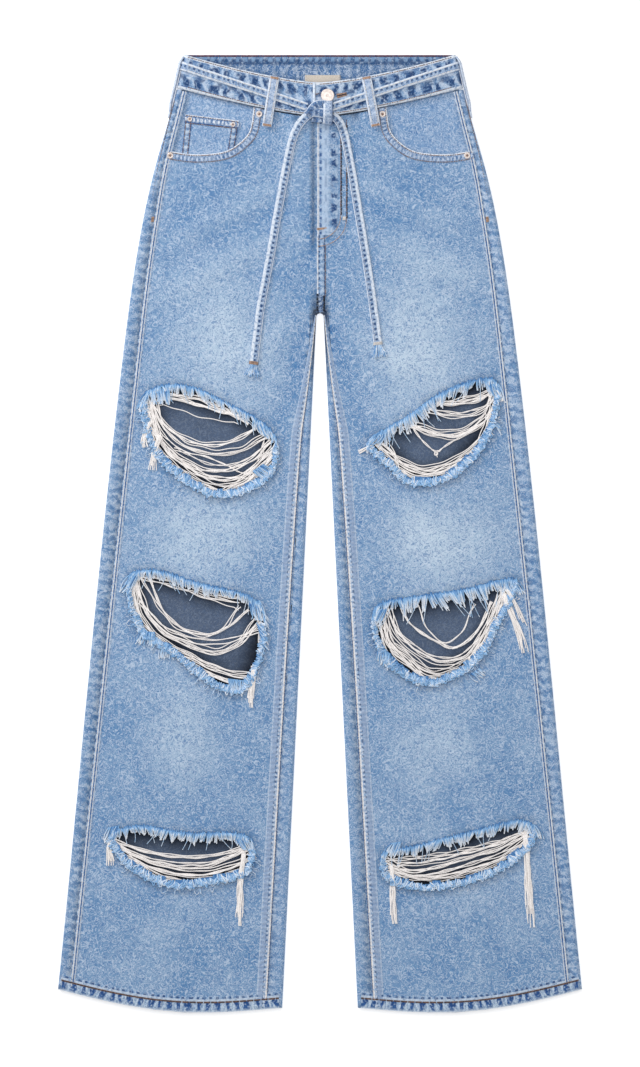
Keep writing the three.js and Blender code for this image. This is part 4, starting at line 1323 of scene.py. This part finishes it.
# %% [markdown]
# The tie's knot is one turn of the strap over the other end: a flat lobe that comes out of the
# belt, a paler fold above it, and a short upright turn over both. All are rolled straps with
# more body.

# %% Knot and belt loops
knot_low, knot_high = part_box("tie_knot")
knot_base = knot_low[2] / MM
knot_denim = roped_material("knot denim", 8, 0.4, deep=colour(44, 78, 126), pale=colour(116, 150, 190), fade=0.35, lines=[
    (-4.9, 0.9, EDGE, 0.9), (4.9, 0.8, EDGE, 0.8), (0.6, 2.2, colour(34, 60, 102), 0.7, 9)])


def bulged(route, heights, width, thickness):
    fine, _ = smooth_route(route, 1.2)
    last = len(fine) - 1
    tall = [through(list(enumerate(heights)), (len(heights) - 1) * i / last) for i in range(last + 1)]
    return rolled_strap(fine, tall, width, thickness, 18)


lobe = bulged([(-14.5, 69.5), (-10, 66.5), (-4, 66), (2, 67), (8, 69)], [knot_base + z for z in (1.2, 3.2, 4.6, 4.2, 2.6)], 11, 5.0)
finished("knot_lobe", lobe, [knot_denim], ["tie_knot"])
fold = bulged([(-12, 67.5), (-8, 61.5), (-3, 57.8), (2.5, 57), (7, 58.5)],
              [knot_base + z for z in (2.4, 4.4, 5.4, 4.6, 2.8)], 10.2, 4.4)
finished("knot_fold", fold, [knot_denim])
lower = bulged([(-9, 73), (-3, 74), (3, 73.5), (9, 72)], [knot_base + z for z in (1.2, 2.2, 2.6, 2.2)], 7.5, 3.6)
finished("knot_underlap", lower, [knot_denim])
turn = bulged([(9.0, 53), (9.0, 58), (9.0, 64), (8.9, 70), (8.6, 75), (8.2, 78.6), (8.0, 79.6)],
              [knot_base + z for z in (2.2, 6.0, 7.8, 8.2, 7.2, 4.4, 1.0)], 10.6, 3.0)
finished("knot_turn", turn, [turn_denim], ["knot_wrap"])

SIDE_LOOP_ROWS = [(2, BAND_FOLD), (25, BAND_FOLD), (48, FOLD), (71, FOLD)]
LOOP_ARCH = STRAP_WALL + 2 * BELT_GAP
for side_name, side in (("right", -1), ("left", 1)):
    def side_loop_place(u, v, side=side):
        down = lerp(2, 71, u)
        angle = math.radians(lerp(-42, 34, v))
        fold = through(SIDE_LOOP_ROWS, down)
        room = LOOP_ARCH * smooth(u, 0, 0.1) * (1 - smooth(u, 0.72, 1))
        reach = fold + 0.3 + room + STRAP_WALL
        x = side_fold(down) - fold + reach * math.cos(angle)
        return place(side * x, down, lift(down) + fold + reach * math.sin(angle)), (69 * u, (v - 0.5) * LOOP_WIDTH)

    mesh = carried_grid(28, 8, side_loop_place)
    flip_if_needed(mesh, lambda c, side=side: Vector((side, 0, 0)))
    loop = finished(f"side_loop_cloth_{side_name}", mesh, [loop_denim], [f"side_loop_{side_name}"])
    walled(loop, STRAP_WALL)
print("knot base", round(knot_base, 1))

# %% [markdown]
# Metal trim is turned work: a shank button with a rolled rim, and burr rivets with a copper
# centre. Each profile is a few edges spun round its axis.

# %% Button and rivets


def turned_piece(name, node_name, profile, materials, split_at=None):
    low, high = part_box(node_name)
    radius = (high[0] - low[0]) / 2
    mesh = bmesh.new()
    points = [mesh.verts.new((r * radius, 0, z * (high[2] - low[2]))) for r, z in profile]
    edges = [mesh.edges.new(pair) for pair in zip(points, points[1:])]
    bmesh.ops.spin(mesh, geom=points + edges, cent=(0, 0, 0), axis=(0, 0, 1), angle=math.tau, steps=40, use_merge=True)
    bmesh.ops.remove_doubles(mesh, verts=mesh.verts, dist=1e-6)
    bmesh.ops.recalc_face_normals(mesh, faces=mesh.faces)
    if split_at:
        for face in mesh.faces:
            middle = face.calc_center_median()
            face.material_index = int(math.hypot(middle.x, middle.y) < split_at * radius)
    bmesh.ops.translate(mesh, verts=mesh.verts, vec=((low[0] + high[0]) / 2, (low[1] + high[1]) / 2, low[2]))
    return finished(name, mesh, materials, [node_name])


BUTTON_PROFILE = [(0, 0), (0.7, 0), (0.92, 0.12), (1.0, 0.45), (0.98, 0.7), (0.92, 0.84), (0.86, 0.86), (0.82, 0.82),
                  (0.76, 0.84), (0.5, 0.95), (0.2, 1.0), (0.14, 0.93), (0, 0.92)]
RIVET_PROFILE = [(0, 0), (0.9, 0), (1.0, 0.25), (0.96, 0.55), (0.82, 0.8), (0.62, 0.78), (0.5, 0.5), (0.4, 0.45),
                 (0.34, 0.7), (0.24, 0.95), (0, 1.0)]
turned_piece("button_cap", "button", BUTTON_PROFILE, [trim_metal])
for rivet in ("right_inner", "right_outer", "left_inner", "left_outer", "coin_inner", "coin_outer"):
    turned_piece(f"rivet_cap_{rivet}", f"rivet_{rivet}", RIVET_PROFILE, [trim_metal, copper], 0.42)

# %% Label
label_low, label_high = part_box("label")


def label_place(u, v):
    x = lerp(label_low[0], label_high[0], u) / MM
    down = TOP - lerp(label_high[1], label_low[1], v) / MM
    bow = 0.5 * math.sin(math.pi * u) * math.sin(math.pi * v)
    return place(x, down, label_high[2] / MM + bow), (x, down)


mesh = carried_grid(20, 12, label_place)
flip_if_needed(mesh, lambda c: Vector((0, 0, 1)))
label = finished("label_tape", mesh, [tape_cloth], ["label"])
walled(label, 0.8)

# %% [markdown]
# Lockstitches are short raised dashes of thicker thread, sunk at both ends where the needle
# went through. One function walks a route and makes a small curved path for each stitch.

# %% Stitches
STITCH_PITCH = 3.3
THREAD_RADIUS = 0.42
stitch_paths = {"cream": [], "brown": [], "gold": [], "rust": [], "dark": []}


def sew(colour_name, route, height_at=front_height, above=0.9, pitch=STITCH_PITCH, fill=0.78):
    fine, length = smooth_route(route, 0.9)
    count = int(length / pitch)
    for k in range(count):
        path = []
        for step in (0, 0.5, 1):
            i = min(len(fine) - 1, round((k + fill * step) / count * (len(fine) - 1)))
            at = fine[i]
            sink = 0 if step == 0.5 else 0.35
            path.append(place(at.x, at.y, height_at(at.x, at.y) + above - sink))
        stitch_paths[colour_name].append(path)


def tack(colour_name, start, end, width, height_at, above, turns=14):
    """A bar tack: close zigzag stitches over a short line."""
    start, end = Vector(start), Vector(end)
    across = Vector((start.y - end.y, end.x - start.x)).normalized() * width / 2
    for k in range(turns):
        at = start.lerp(end, (k + 0.5) / turns)
        lean = (end - start) / turns * 0.35
        path = []
        for t in (-1, 0, 1):
            p = at + across * t + lean * t
            path.append(place(p.x, p.y, height_at(p.x, p.y) + above - 0.3 * abs(t)))
        stitch_paths[colour_name].append(path)


band_xs = [lerp(-WAIST_HALF + 4, WAIST_HALF - 4, k / 40) for k in range(41)]
band_face = lambda x, down: band_height(x)
for side_name, side in (("right", -1), ("left", 1)):
    sew("cream", side_route(side, 1.6), above=0.75)
    sew("cream", side_route(side, 4.6), above=0.65)
    sew("cream", inner_route(side, 1.6), above=0.8)
    for k, rope_colour in enumerate(("brown", "dark", "brown")):
        sew(rope_colour, hem_route(side, HEM_HEIGHT - 0.9 + 0.5 * k), above=1.1 + 0.1 * k, pitch=4.0, fill=0.95 - 0.3 * (k == 1))
    sew("brown", mouth_route(side, 1.6), above=0.8, pitch=2.6)
    sew("brown", mouth_route(side, MOUTH_WIDTH - 1.2), above=0.7, pitch=2.6)
    sew("brown", [(side * (side_seam(d) + 6), d) for d in (52, 90, 130, 160)], lambda x, d: lift(d) + 2 * FOLD - 0.6, 0.5)
    tack("gold", (side * (side_seam(186) + 1.4), 183), (side * (side_seam(190) + 1.4), 189), 3.2, front_height, 0.5, 7)
sew("brown", [(x, band_top(x) + 2.0) for x in band_xs if x < -7], band_face, 0.45, 2.8)
sew("brown", [(x, band_top(x) + 2.0) for x in band_xs if x > -6], band_face, 0.45, 2.8)
sew("brown", [(x, band_bottom(x) - 2.0) for x in band_xs if x < -7], band_face, 0.45, 2.8)
sew("brown", [(x, band_bottom(x) - 2.0) for x in band_xs if x > -6], band_face, 0.45, 2.8)
sew("brown", [(-5, 45.6), (1, 43.8)], band_face, 0.8, 2.0)
back_inside = lambda x, down: WAIST_LIFT + BAND_WALL
sew("rust", [(-150, 1.3), (0, 1.3), (150, 1.3)], back_inside, 0.7, 2.6, 0.9)

for side_name, ((x0, d0), (x1, d1)) in FRONT_LOOPS.items():
    base = band_height((x0 + x1) / 2)
    along = Vector((x1 - x0, d1 - d0)).normalized()
    across = Vector((-along.y, along.x))
    top, end = Vector((x0, d0)), Vector((x1, d1))

    def loop_height(x, down, top=top, end=end, base=base):
        t = clamp((down - top.y) / (end.y - top.y))
        return base + 2.3 + 2.3 * smooth(t, 0.02, 0.2) * (1 - smooth(t, 0.78, 0.98))

    for offset in (-3.4, 3.4):
        sew("cream", [tuple(top + across * offset + along * 4), tuple(end + across * offset - along * 4)], loop_height, 0.1, 3.0)
    tack("gold", top - across * 4.6 + along * 2, top + across * 4.6 + along * 2, 2.4, loop_height, 0.35)
    tack("gold", end - across * 4.6 - along * 2, end + across * 4.6 - along * 2, 2.4, loop_height, 0.35)

for colour_name, out, turn_down, deep in (("inner", 26.7, 182, 26.6), ("outer", 33.2, 186, 30.6)):
    sew("brown", [(FLY_EDGE + out, d) for d in (74, 110, 150, turn_down)], above=0.9 if out < 30 else 0.5, pitch=2.8)
    sew("dark", [(FLY_EDGE + out + 0.9, d) for d in (80, 110, 150, turn_down)], above=0.7 if out < 30 else 0.3, pitch=4.4)
    bend = [math.radians(a) for a in (0, 18, 36, 54, 72, 90)]
    sew("gold", [(FLY_EDGE + out * math.cos(a), turn_down + deep * math.sin(a)) for a in bend], above=1.4, pitch=2.8)
sew("cream", [(FLY_EDGE + 1.2, d) for d in (74, 110, 160, 204)], above=1.1, pitch=3.0)
sew("cream", [(FLY_EDGE + 1.0, d) for d in (206, 230, 250, 268)], above=1.1, pitch=3.0)
sew("brown", [(6.0, d) for d in (216, 235, 255, 274)], above=1.0, pitch=3.0)
tack("gold", (FLY_EDGE, 197.2), (FLY_EDGE + 11, 196), 2.2, front_height, 1.6)
tack("cream", (27.6, 183), (27, 187), 3.4, front_height, 0.9, 6)
for s in (0.025, 0.115, 0.885, 0.975):
    sew("brown", [tuple(coin_point(s, t)) for t in (0.03, 0.5, 1)], coin_height, 0.7, 2.6)
for t in (0.03, 0.2):
    sew("brown", [tuple(coin_point(s, t)) for s in (0.02, 0.5, 0.98)], coin_height, 0.75, 2.6)
for s in (0.03, 0.97):
    x = lerp(label_low[0], label_high[0], s) / MM
    sew("cream", [(x, 24), (x, 42)], lambda x, d: label_high[2] / MM, 0.2, 2.4)

hole_centre, hole_end = Vector((19.5, 47.5)), Vector((30, 45))
for k in range(30):
    t = k / 29
    at = hole_centre.lerp(hole_end, t)
    across = Vector((hole_centre.y - hole_end.y, hole_end.x - hole_centre.x)).normalized()
    for sign in (-1, 1):
        inner, outer = at + across * sign * 0.5, at + across * sign * (2.5 - 0.9 * t)
        stitch_paths["gold" if k % 3 == 0 else "brown"].append(
            [place(p.x, p.y, band_height(p.x) + h) for p, h in ((inner, 0.5), (inner.lerp(outer, 0.5), 0.75), (outer, 0.2))])

# Painted shade: three dark threads along the buttonhole stand for the shaded slit.
for offset in (-0.5, 0, 0.5):
    stitch_paths["dark"].append([place(x, lerp(47.5, 45.4, (x - 19) / 10) + offset, band_height(x) + 0.55) for x in (19, 22, 25, 28, 29.5)])

BELT_TOP = BELT_GAP + STRAP_WALL
for side in (-1, 1):
    belt_xs = [side * lerp(16, WAIST_HALF - 6, k / 20) for k in range(21)]
    for offset in (-2.9, 2.9):
        sew("cream", [(flared(x, belt_down(x)), belt_down(x) + offset) for x in belt_xs], lambda x, d: band_height(x) + BELT_TOP, 0.2, 3.4)
for side_name, (tie, fine, heights, length) in ties.items():
    outer = -2.6 if side_name == "right" else 2.6
    sew("cream", beside(TIE_ENDS[side_name], outer), lambda x, d: tie_height(x, d) + 0.55, 0.2, 3.4)

yarns("stitches_cream", stitch_paths["cream"], THREAD_RADIUS, cream_thread)
yarns("stitches_brown", stitch_paths["brown"], THREAD_RADIUS, brown_thread)
yarns("stitches_gold", stitch_paths["gold"], THREAD_RADIUS, gold_thread)
yarns("stitches_rust", stitch_paths["rust"], 0.6, rust_thread)
yarns("stitches_dark", stitch_paths["dark"], 0.5, dark_thread)

# %% [markdown]
# A rip frays along its whole edge. Cut warp ends hang from the upper edge as a combed fringe,
# blue at the root and white at the tip. Along the lower edge the ends curl back over the cloth
# in small loops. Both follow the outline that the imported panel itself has.

# %% Frayed edges


def even_outline(loop, step):
    closed = loop + [loop[0]]
    lengths = [0.0]
    for a, b in zip(closed, closed[1:]):
        lengths.append(lengths[-1] + (b - a).length)
    count = int(lengths[-1] / step)
    places, k = [], 0
    for i in range(count):
        want = lengths[-1] * i / count
        while lengths[k + 1] < want:
            k += 1
        places.append(closed[k].lerp(closed[k + 1], (want - lengths[k]) / max(1e-9, lengths[k + 1] - lengths[k])))
    return places


def outward_normals(places):
    middle = sum(places, Vector((0, 0))) / len(places)
    result = []
    for i, p in enumerate(places):
        run = places[(i + 3) % len(places)] - places[i - 3]
        normal = Vector((-run.y, run.x)).normalized()
        result.append(normal if normal.dot(p - middle) > 0 else -normal)
    return result


def above_cloth(p, z):
    return place(p.x, p.y, front_height(p.x, p.y) + z)


FRINGE = {"right": [13, 13, 12], "left": [16, 21, 13]}


def hanging_end(p, hang, root, length, swing, lift_by):
    """A cut end that starts on the cloth above the edge, bends over it and hangs into the rip."""
    base = front_height(p.x, p.y)
    path = []
    for t in (0, 0.12, 0.28, 0.5, 0.75, 1):
        at = p + hang * (length + root) * t - Vector((0, root)) + Vector((swing * t * t, 0))
        rise = lift_by * math.sin(math.pi * min(1, t * 1.15 + 0.12)) - 1.2 * t
        path.append(place(at.x, at.y, base + 0.3 + rise))
    return path


def turned_loop(p, normal, start, reach, shift, high, rough):
    """A loop of yarn that springs from inside the rip, folds over its edge and turns back."""
    along = Vector((-normal.y, normal.x))
    base = front_height(p.x, p.y)
    path = []
    for t in (0, 0.2, 0.38, 0.5, 0.62, 0.8, 1):
        out = lerp(-start, reach, math.sin(math.pi * t) ** 0.8)
        at = p + normal * out + along * shift * (t - 0.5) * 2 * math.sin(math.pi * min(1, 0.2 + 0.6 * t))
        at += Vector((rng.uniform(-1, 1), rng.uniform(-1, 1))) * rough
        path.append(place(at.x, at.y, base + 0.2 + high * math.sin(math.pi * t) ** 0.7))
    return path


def fan(root, tip, count, rise, paths, shades):
    """A tuft: strands from a short root line to a short tip line, pale at the tips."""
    (a, b), (c, d) = [[Vector(q) for q in pair] for pair in (root, tip)]
    for k in range(count):
        s = (k + rng.uniform(0.1, 0.9)) / count
        start, end = a.lerp(b, s), c.lerp(d, clamp(s + rng.uniform(-0.16, 0.16)))
        end = start.lerp(end, rng.uniform(0.8, 1.1))
        bow = Vector((end.y - start.y, start.x - end.x)) * rng.uniform(-0.12, 0.12)
        high, path = rise * rng.uniform(0.5, 1.1), []
        for t in (0, 0.2, 0.4, 0.6, 0.8, 1):
            at = start.lerp(end, t) + bow * math.sin(math.pi * t)
            path.append(above_cloth(at, 0.3 + high * math.sin(math.pi * min(1, 0.15 + t * 0.75))))
        paths.append(path)
        shades.append(rng.choice(((-0.1, 0.7, 1), (0.35, 0.6, 1), (0.5, 0.5, 1))))


TUFTS = {
    # root line, tip line, strands
    "right": [
        (((-192, 379), (-171, 376)), ((-190, 394), (-170, 394)), 34), (((-196, 380), (-190, 378)), ((-207, 398), (-200, 404)), 14),
        (((-74, 412), (-62, 418)), ((-68, 428), (-52, 438)), 20), (((-76, 470), (-64, 462)), ((-62, 482), (-52, 472)), 18),
        (((-215, 586), (-204, 584)), ((-227, 604), (-216, 610)), 20), (((-80, 618), (-68, 616)), ((-76, 636), (-62, 642)), 20),
        (((-202, 650), (-186, 652)), ((-208, 664), (-188, 668)), 24), (((-180, 668), (-166, 672)), ((-182, 681), (-164, 683)), 18),
        (((-104, 704), (-88, 706)), ((-98, 718), (-86, 724)), 22), (((-238, 872), (-226, 870)), ((-246, 888), (-232, 890)), 20),
        (((-96, 884), (-84, 882)), ((-88, 896), (-76, 900)), 18), (((-72, 640), (-66, 660)), ((-58, 652), (-58, 672)), 14),
    ],
    "left": [
        (((186, 370), (202, 372)), ((192, 384), (210, 392)), 26), (((64, 428), (76, 424)), ((50, 440), (66, 442)), 16),
        (((192, 412), (200, 418)), ((204, 420), (204, 430)), 12), (((208, 592), (222, 594)), ((212, 610), (232, 608)), 26),
        (((66, 626), (76, 624)), ((58, 642), (68, 644)), 18), (((66, 670), (80, 676)), ((64, 686), (78, 694)), 20),
        (((232, 866), (244, 870)), ((238, 882), (252, 884)), 20), (((80, 890), (92, 888)), ((72, 902), (86, 906)), 18),
        (((168, 700), (180, 692)), ((178, 708), (188, 698)), 12),
    ],
}
for side_name in ("right", "left"):
    hanging, hang_shades, loops, loop_shades, stray = [], [], [], [], []
    for root, tip, count in TUFTS[side_name]:
        fan(root, tip, count, 2.2, hanging, hang_shades)
    for rip, reach in zip(rips[side_name], FRINGE[side_name]):
        places = even_outline(rip, 1.0)
        normals = outward_normals(places)
        lean, clump_start, clump_end = 0.0, 0, 0
        for i, (p, normal) in enumerate(zip(places, normals)):
            lean = clamp(0.96 * lean + rng.uniform(-0.1, 0.1), -0.5, 0.5)
            if i >= clump_end:
                clump_start, clump_end = i, i + rng.randint(4, 8)
                clump_centre = p + Vector((rng.uniform(-1, 4), 0))
                clump_lean, clump_turn = rng.uniform(-0.35, 0.35), rng.uniform(-0.7, 0.7)
                clump_reach = rng.uniform(0.65, 1.15)
            share = (i - clump_start) / (clump_end - clump_start)
            full = math.sin(math.pi * (0.12 + 0.76 * share))
            tuft = (0.88 + 0.2 * math.sin(i / 2.9) * math.sin(i / 8.3 + 1)) * (0.78 + 0.22 * full)
            if -normal.y > 0.12:
                hang = Vector((lean + clump_lean, 1.0)).normalized()
                gather = clamp((clump_centre.x - p.x) * 0.45, -2, 2)
                for size, root, shade in ((0.45, 3.2, (0.0, 0.5, 1)), (0.8, 2.2, (0.2, 0.6, 1)), (1.0, 1.2, (0.45, 0.75, 1.2))):
                    if size > 0.9 and rng.random() < 0.12:
                        continue
                    length = reach * size * tuft * clump_reach * rng.uniform(0.8, 1.08)
                    start = p + Vector((rng.uniform(-0.8, 0.8), 0))
                    hanging.append(hanging_end(start, hang, root * rng.uniform(0.2, 1.2), length,
                                               gather * size + rng.uniform(-0.9, 0.9), 0.6 + 1.8 * size * rng.uniform(0.7, 1.2)))
                    hang_shades.append((shade[0] + rng.uniform(-0.3, 0.25), *shade[1:]))
                if rng.random() < 0.07:
                    stray.append(hanging_end(p, hang, 0.5, reach * 1.5, rng.uniform(-7, 7), 1.5))
            else:
                deep = lerp(4.5, 10.0, smooth(normal.y, -0.1, 0.7)) * clump_reach
                if rng.random() < 0.7:
                    loops.append(turned_loop(p, normal, deep * 0.9, rng.uniform(-2.5, -0.5), rng.uniform(-2, 2), 0.5, 0.4))
                    loop_shades.append((-0.35, 0.5, 1))
                turned = Vector(normal)
                turned.rotate(Matrix.Rotation(clump_turn + (share - 0.5) * 1.3, 2))
                for _ in range(2 if full > 0.6 else 1):
                    start = p - normal * rng.uniform(0, 3.5)
                    loops.append(turned_loop(start, turned, deep * rng.uniform(0.25, 0.7), rng.uniform(0.0, 4.0) * full,
                                             rng.uniform(1.4, 3.4) * rng.choice((-1, 1)), rng.uniform(1.2, 3.4) * full + 0.5, 0.5))
                    loop_shades.append((rng.uniform(0.2, 0.7), rng.uniform(0.1, 0.5), 1))
                if rng.random() < 0.03:
                    stray.append(turned_loop(p, normal, 2, 9, rng.uniform(-7, 7), 1.6, 0.9))
    yarns(f"fringe_{side_name}", hanging, 0.62, frayed_yarn, shades=hang_shades)
    yarns(f"curls_{side_name}", loops, 0.66, frayed_yarn, shades=loop_shades)
    yarns(f"stray_ends_{side_name}", stray, 0.4, pale_yarn)

# %% [markdown]
# Across each rip the white weft is left: yarns that slipped out of the weave and sag together
# in bundles from one torn corner to the other. Every bundle is laid through a few given
# places, and its yarns wander round that line.

# %% Weft across the rips
BUNDLES = {
    "right_thigh": [
        # yarns, half spread, places from one edge to the other
        (7, 4.5, [(-174, 388), (-150, 394), (-127, 401), (-96, 409)]),
        (5, 2.5, [(-172, 384), (-140, 388), (-112, 400), (-84, 412)]),
        (3, 1.3, [(-183, 394), (-178, 412), (-166, 424), (-140, 437), (-112, 439), (-88, 431), (-70, 420)]),
        (4, 2.0, [(-187, 394), (-176, 418), (-152, 439), (-118, 448), (-90, 445), (-64, 431)]),
        (4, 2.6, [(-191, 396), (-180, 428), (-155, 451), (-120, 466), (-86, 461), (-58, 440)]),
        (6, 3.4, [(-193, 398), (-180, 436), (-158, 458), (-122, 477), (-88, 475), (-56, 448)]),
        (8, 4.4, [(-193, 402), (-184, 443), (-162, 467), (-138, 483), (-108, 492), (-76, 478), (-55, 458)]),
        (3, 1.5, [(-188, 424), (-166, 452), (-140, 468), (-112, 470), (-84, 462), (-62, 452)]),
        (2, 1.2, [(-160, 446), (-120, 456), (-92, 470), (-72, 474)]),
        (2, 1.0, [(-62, 432), (-66, 452), (-78, 470), (-96, 484), (-114, 494)]),
    ],
    "right_knee": [
        (6, 4.0, [(-206, 588), (-180, 594), (-150, 602), (-122, 612), (-96, 618)]),
        (3, 1.5, [(-192, 590), (-182, 618), (-166, 640), (-140, 653), (-112, 651), (-84, 630)]),
        (5, 2.6, [(-208, 592), (-196, 628), (-176, 651), (-150, 664), (-121, 674), (-93, 665), (-72, 642)]),
        (5, 3.0, [(-213, 596), (-202, 636), (-178, 662), (-150, 677), (-124, 690), (-98, 698), (-74, 700)]),
        (5, 3.0, [(-212, 604), (-204, 644), (-184, 664), (-156, 682), (-126, 698), (-98, 708), (-80, 714)]),
        (3, 2.0, [(-200, 620), (-176, 646), (-140, 660), (-104, 660), (-74, 650)]),
        (4, 1.6, [(-70, 626), (-68, 650), (-68, 676), (-74, 702)]),
        (2, 1.0, [(-94, 626), (-110, 648), (-134, 655), (-166, 642), (-190, 610), (-200, 592)]),
    ],
    "right_shin": [
        (4, 2.6, [(-236, 884), (-212, 893), (-180, 901), (-140, 904), (-104, 899), (-80, 892)]),
        (6, 3.2, [(-234, 888), (-206, 903), (-184, 911), (-153, 915), (-123, 913), (-93, 902), (-80, 896)]),
        (6, 3.2, [(-228, 896), (-192, 914), (-153, 923), (-123, 922), (-92, 912), (-79, 904)]),
        (4, 2.4, [(-214, 908), (-184, 924), (-150, 932), (-118, 930), (-84, 918)]),
    ],
    "left_thigh": [
        (4, 2.6, [(196, 378), (176, 386), (152, 391), (136, 392)]),
        (3, 1.4, [(196, 382), (178, 391), (155, 395), (130, 395)]),
        (4, 2.2, [(197, 384), (186, 398), (165, 405), (142, 405), (118, 399)]),
        (8, 4.4, [(196, 390), (186, 410), (160, 426), (134, 427), (112, 420), (94, 414)]),
        (2, 0.5, [(98, 413), (106, 424), (119, 440), (131, 449), (139, 444), (152, 436), (172, 424)]),
        (9, 4.6, [(194, 410), (182, 436), (160, 456), (134, 468), (112, 470), (86, 458), (70, 446), (60, 438)]),
        (5, 2.4, [(190, 430), (170, 454), (142, 471), (112, 477), (88, 468), (72, 458)]),
        (3, 1.6, [(66, 434), (78, 442), (86, 452), (88, 462)]),
    ],
    "left_knee": [
        (3, 1.6, [(90, 622), (100, 641), (116, 654), (134, 664), (150, 670), (168, 661), (182, 644), (192, 622)]),
        (6, 2.8, [(78, 628), (88, 652), (108, 670), (132, 682), (158, 680), (176, 664), (190, 640), (200, 614)]),
        (11, 4.8, [(70, 634), (78, 662), (96, 680), (119, 700), (142, 702), (164, 693), (184, 675), (200, 646), (212, 614)]),
        (5, 3.0, [(68, 644), (78, 676), (102, 696), (128, 708), (152, 702), (176, 684), (196, 656)]),
        (2, 1.0, [(110, 620), (122, 650), (142, 664), (160, 652), (172, 624)]),
        (7, 2.6, [(206, 606), (198, 634), (186, 658), (172, 680)]),
    ],
    "left_shin": [
        (3, 1.8, [(236, 874), (206, 886), (172, 895), (138, 902), (104, 906), (78, 908)]),
        (7, 3.4, [(238, 878), (204, 897), (176, 905), (146, 914), (118, 921), (96, 921), (76, 912)]),
        (6, 3.0, [(238, 884), (206, 908), (170, 921), (140, 928), (108, 929), (80, 922)]),
        (3, 1.6, [(226, 880), (198, 892), (160, 902), (124, 910), (92, 913)]),
    ],
}


def longer(route, extra):
    """A route with both its ends drawn out, so that its yarns come from under the cloth."""
    first, second, before, last = (Vector(route[i]) for i in (0, 1, -2, -1))
    start = first + (first - second).normalized() * extra
    end = last + (last - before).normalized() * extra
    return [tuple(start), *route, tuple(end)]


def weft_bundle(count, spread, route, paths):
    fine, length = smooth_route(longer(route, 5), 4.5)
    last = len(fine) - 1
    ends = fine[0], fine[-1]
    for k in range(count):
        even = 2 * (k + 0.5) / count - 1
        first, middle, final = (spread * (0.5 * even + rng.uniform(-1, 1)) for _ in range(3))
        phase, ripple = rng.uniform(0, math.tau), rng.uniform(0.3, 1.0)
        layer, slack = rng.uniform(-1, 1), rng.uniform(-1.0, 2.0)
        path = []
        for i, p in enumerate(fine):
            t = i / last
            held = math.sin(math.pi * t) ** 0.4
            swing = lerp(first, final, t) * (1.25 - 0.9 * held) + 0.9 * middle * math.sin(math.pi * t)
            swing += ripple * math.sin(t * length / 5 + phase)
            at = p + sideways(fine, i) * swing + Vector((0, slack * math.sin(math.pi * t)))
            edge = front_height(*ends[0 if t < 0.5 else 1])
            path.append(place(at.x, at.y, edge - 0.5 - 0.9 * held + layer * held + 0.3 * math.sin(t * 9 + phase)))
        paths.append(path)


for rip_name, bundles in BUNDLES.items():
    paths = []
    for count, spread, route in bundles:
        weft_bundle(round(count * 1.2), spread * 1.4, route, paths)
    yarns(f"weft_{rip_name}", paths, 0.58, white_yarn, 1)

# %% [markdown]
# Some yarns pulled right out and hang over the cloth below as loose tassels, and here and there
# one ends in a small knot.

# %% Loose tassels
TASSELS = [
    # yarns, half spread at the end, places
    (12, 4.0, [(-190, 412), (-196, 424), (-199, 436), (-197, 448)]),
    (14, 4.5, [(-180, 430), (-186, 446), (-188, 460), (-189, 474)]),
    (16, 5.0, [(-76, 690), (-76, 706), (-78, 722), (-79, 742)]),
    (16, 5.0, [(206, 606), (213, 624), (219, 640), (226, 656), (231, 680)]),
    (8, 3.0, [(208, 600), (216, 612), (224, 630), (234, 650)]),
    (14, 5.0, [(-234, 882), (-238, 894), (-237, 906), (-236, 920)]),
    (18, 5.5, [(-86, 900), (-90, 930), (-91, 958), (-92, 988)]),
    (14, 4.0, [(80, 914), (82, 938), (82, 960), (84, 986)]),
    (18, 6.0, [(232, 878), (234, 912), (236, 950), (239, 990)]),
    (6, 2.5, [(196, 376), (203, 384), (205, 396)]),
    (6, 3.0, [(60, 440), (48, 448), (40, 452)]),
]
loose = []
for count, spread, route in TASSELS:
    fine, length = smooth_route(route, 5.0)
    last = len(fine) - 1
    for k in range(count):
        offset, phase = rng.uniform(-1, 1), rng.uniform(0, math.tau)
        stop = rng.uniform(0.72, 1.0)
        layer = rng.uniform(0.3, 2.2)
        path = []
        for i in range(last + 1):
            t = i / last
            if t > stop and i > 2:
                break
            p = fine[i]
            wide = spread * (0.35 + 0.65 * t) * offset + 0.7 * math.sin(t * length / 7 + phase)
            rise = (0.4 + layer * (1 - 0.3 * t)) * smooth(t, 0, 0.12) - 2.0 * (1 - smooth(t, 0, 0.08))
            path.append(above_cloth(p + sideways(fine, i) * wide, rise))
        loose.append(path)
# The slack pair in the left thigh's rip is knotted at its lowest place.
KNOT_AT = Vector((131, 450.5))
for turn_at in range(3):
    loop = []
    for k in range(9):
        angle = math.tau * k / 8 + turn_at
        at = KNOT_AT + Vector((2.0 * math.cos(angle), 1.5 * math.sin(angle) + 0.5 * turn_at - 0.5))
        loop.append(above_cloth(at, -1.2 + 0.9 * math.sin(angle * 2 + turn_at)))
    loose.append(loop)
loose.append([above_cloth(KNOT_AT + Vector((1.5 * t, 4 * t)), -1 - t) for t in (0, 0.5, 1)])
yarns("loose_tassels", loose, 0.55, white_yarn, 1)
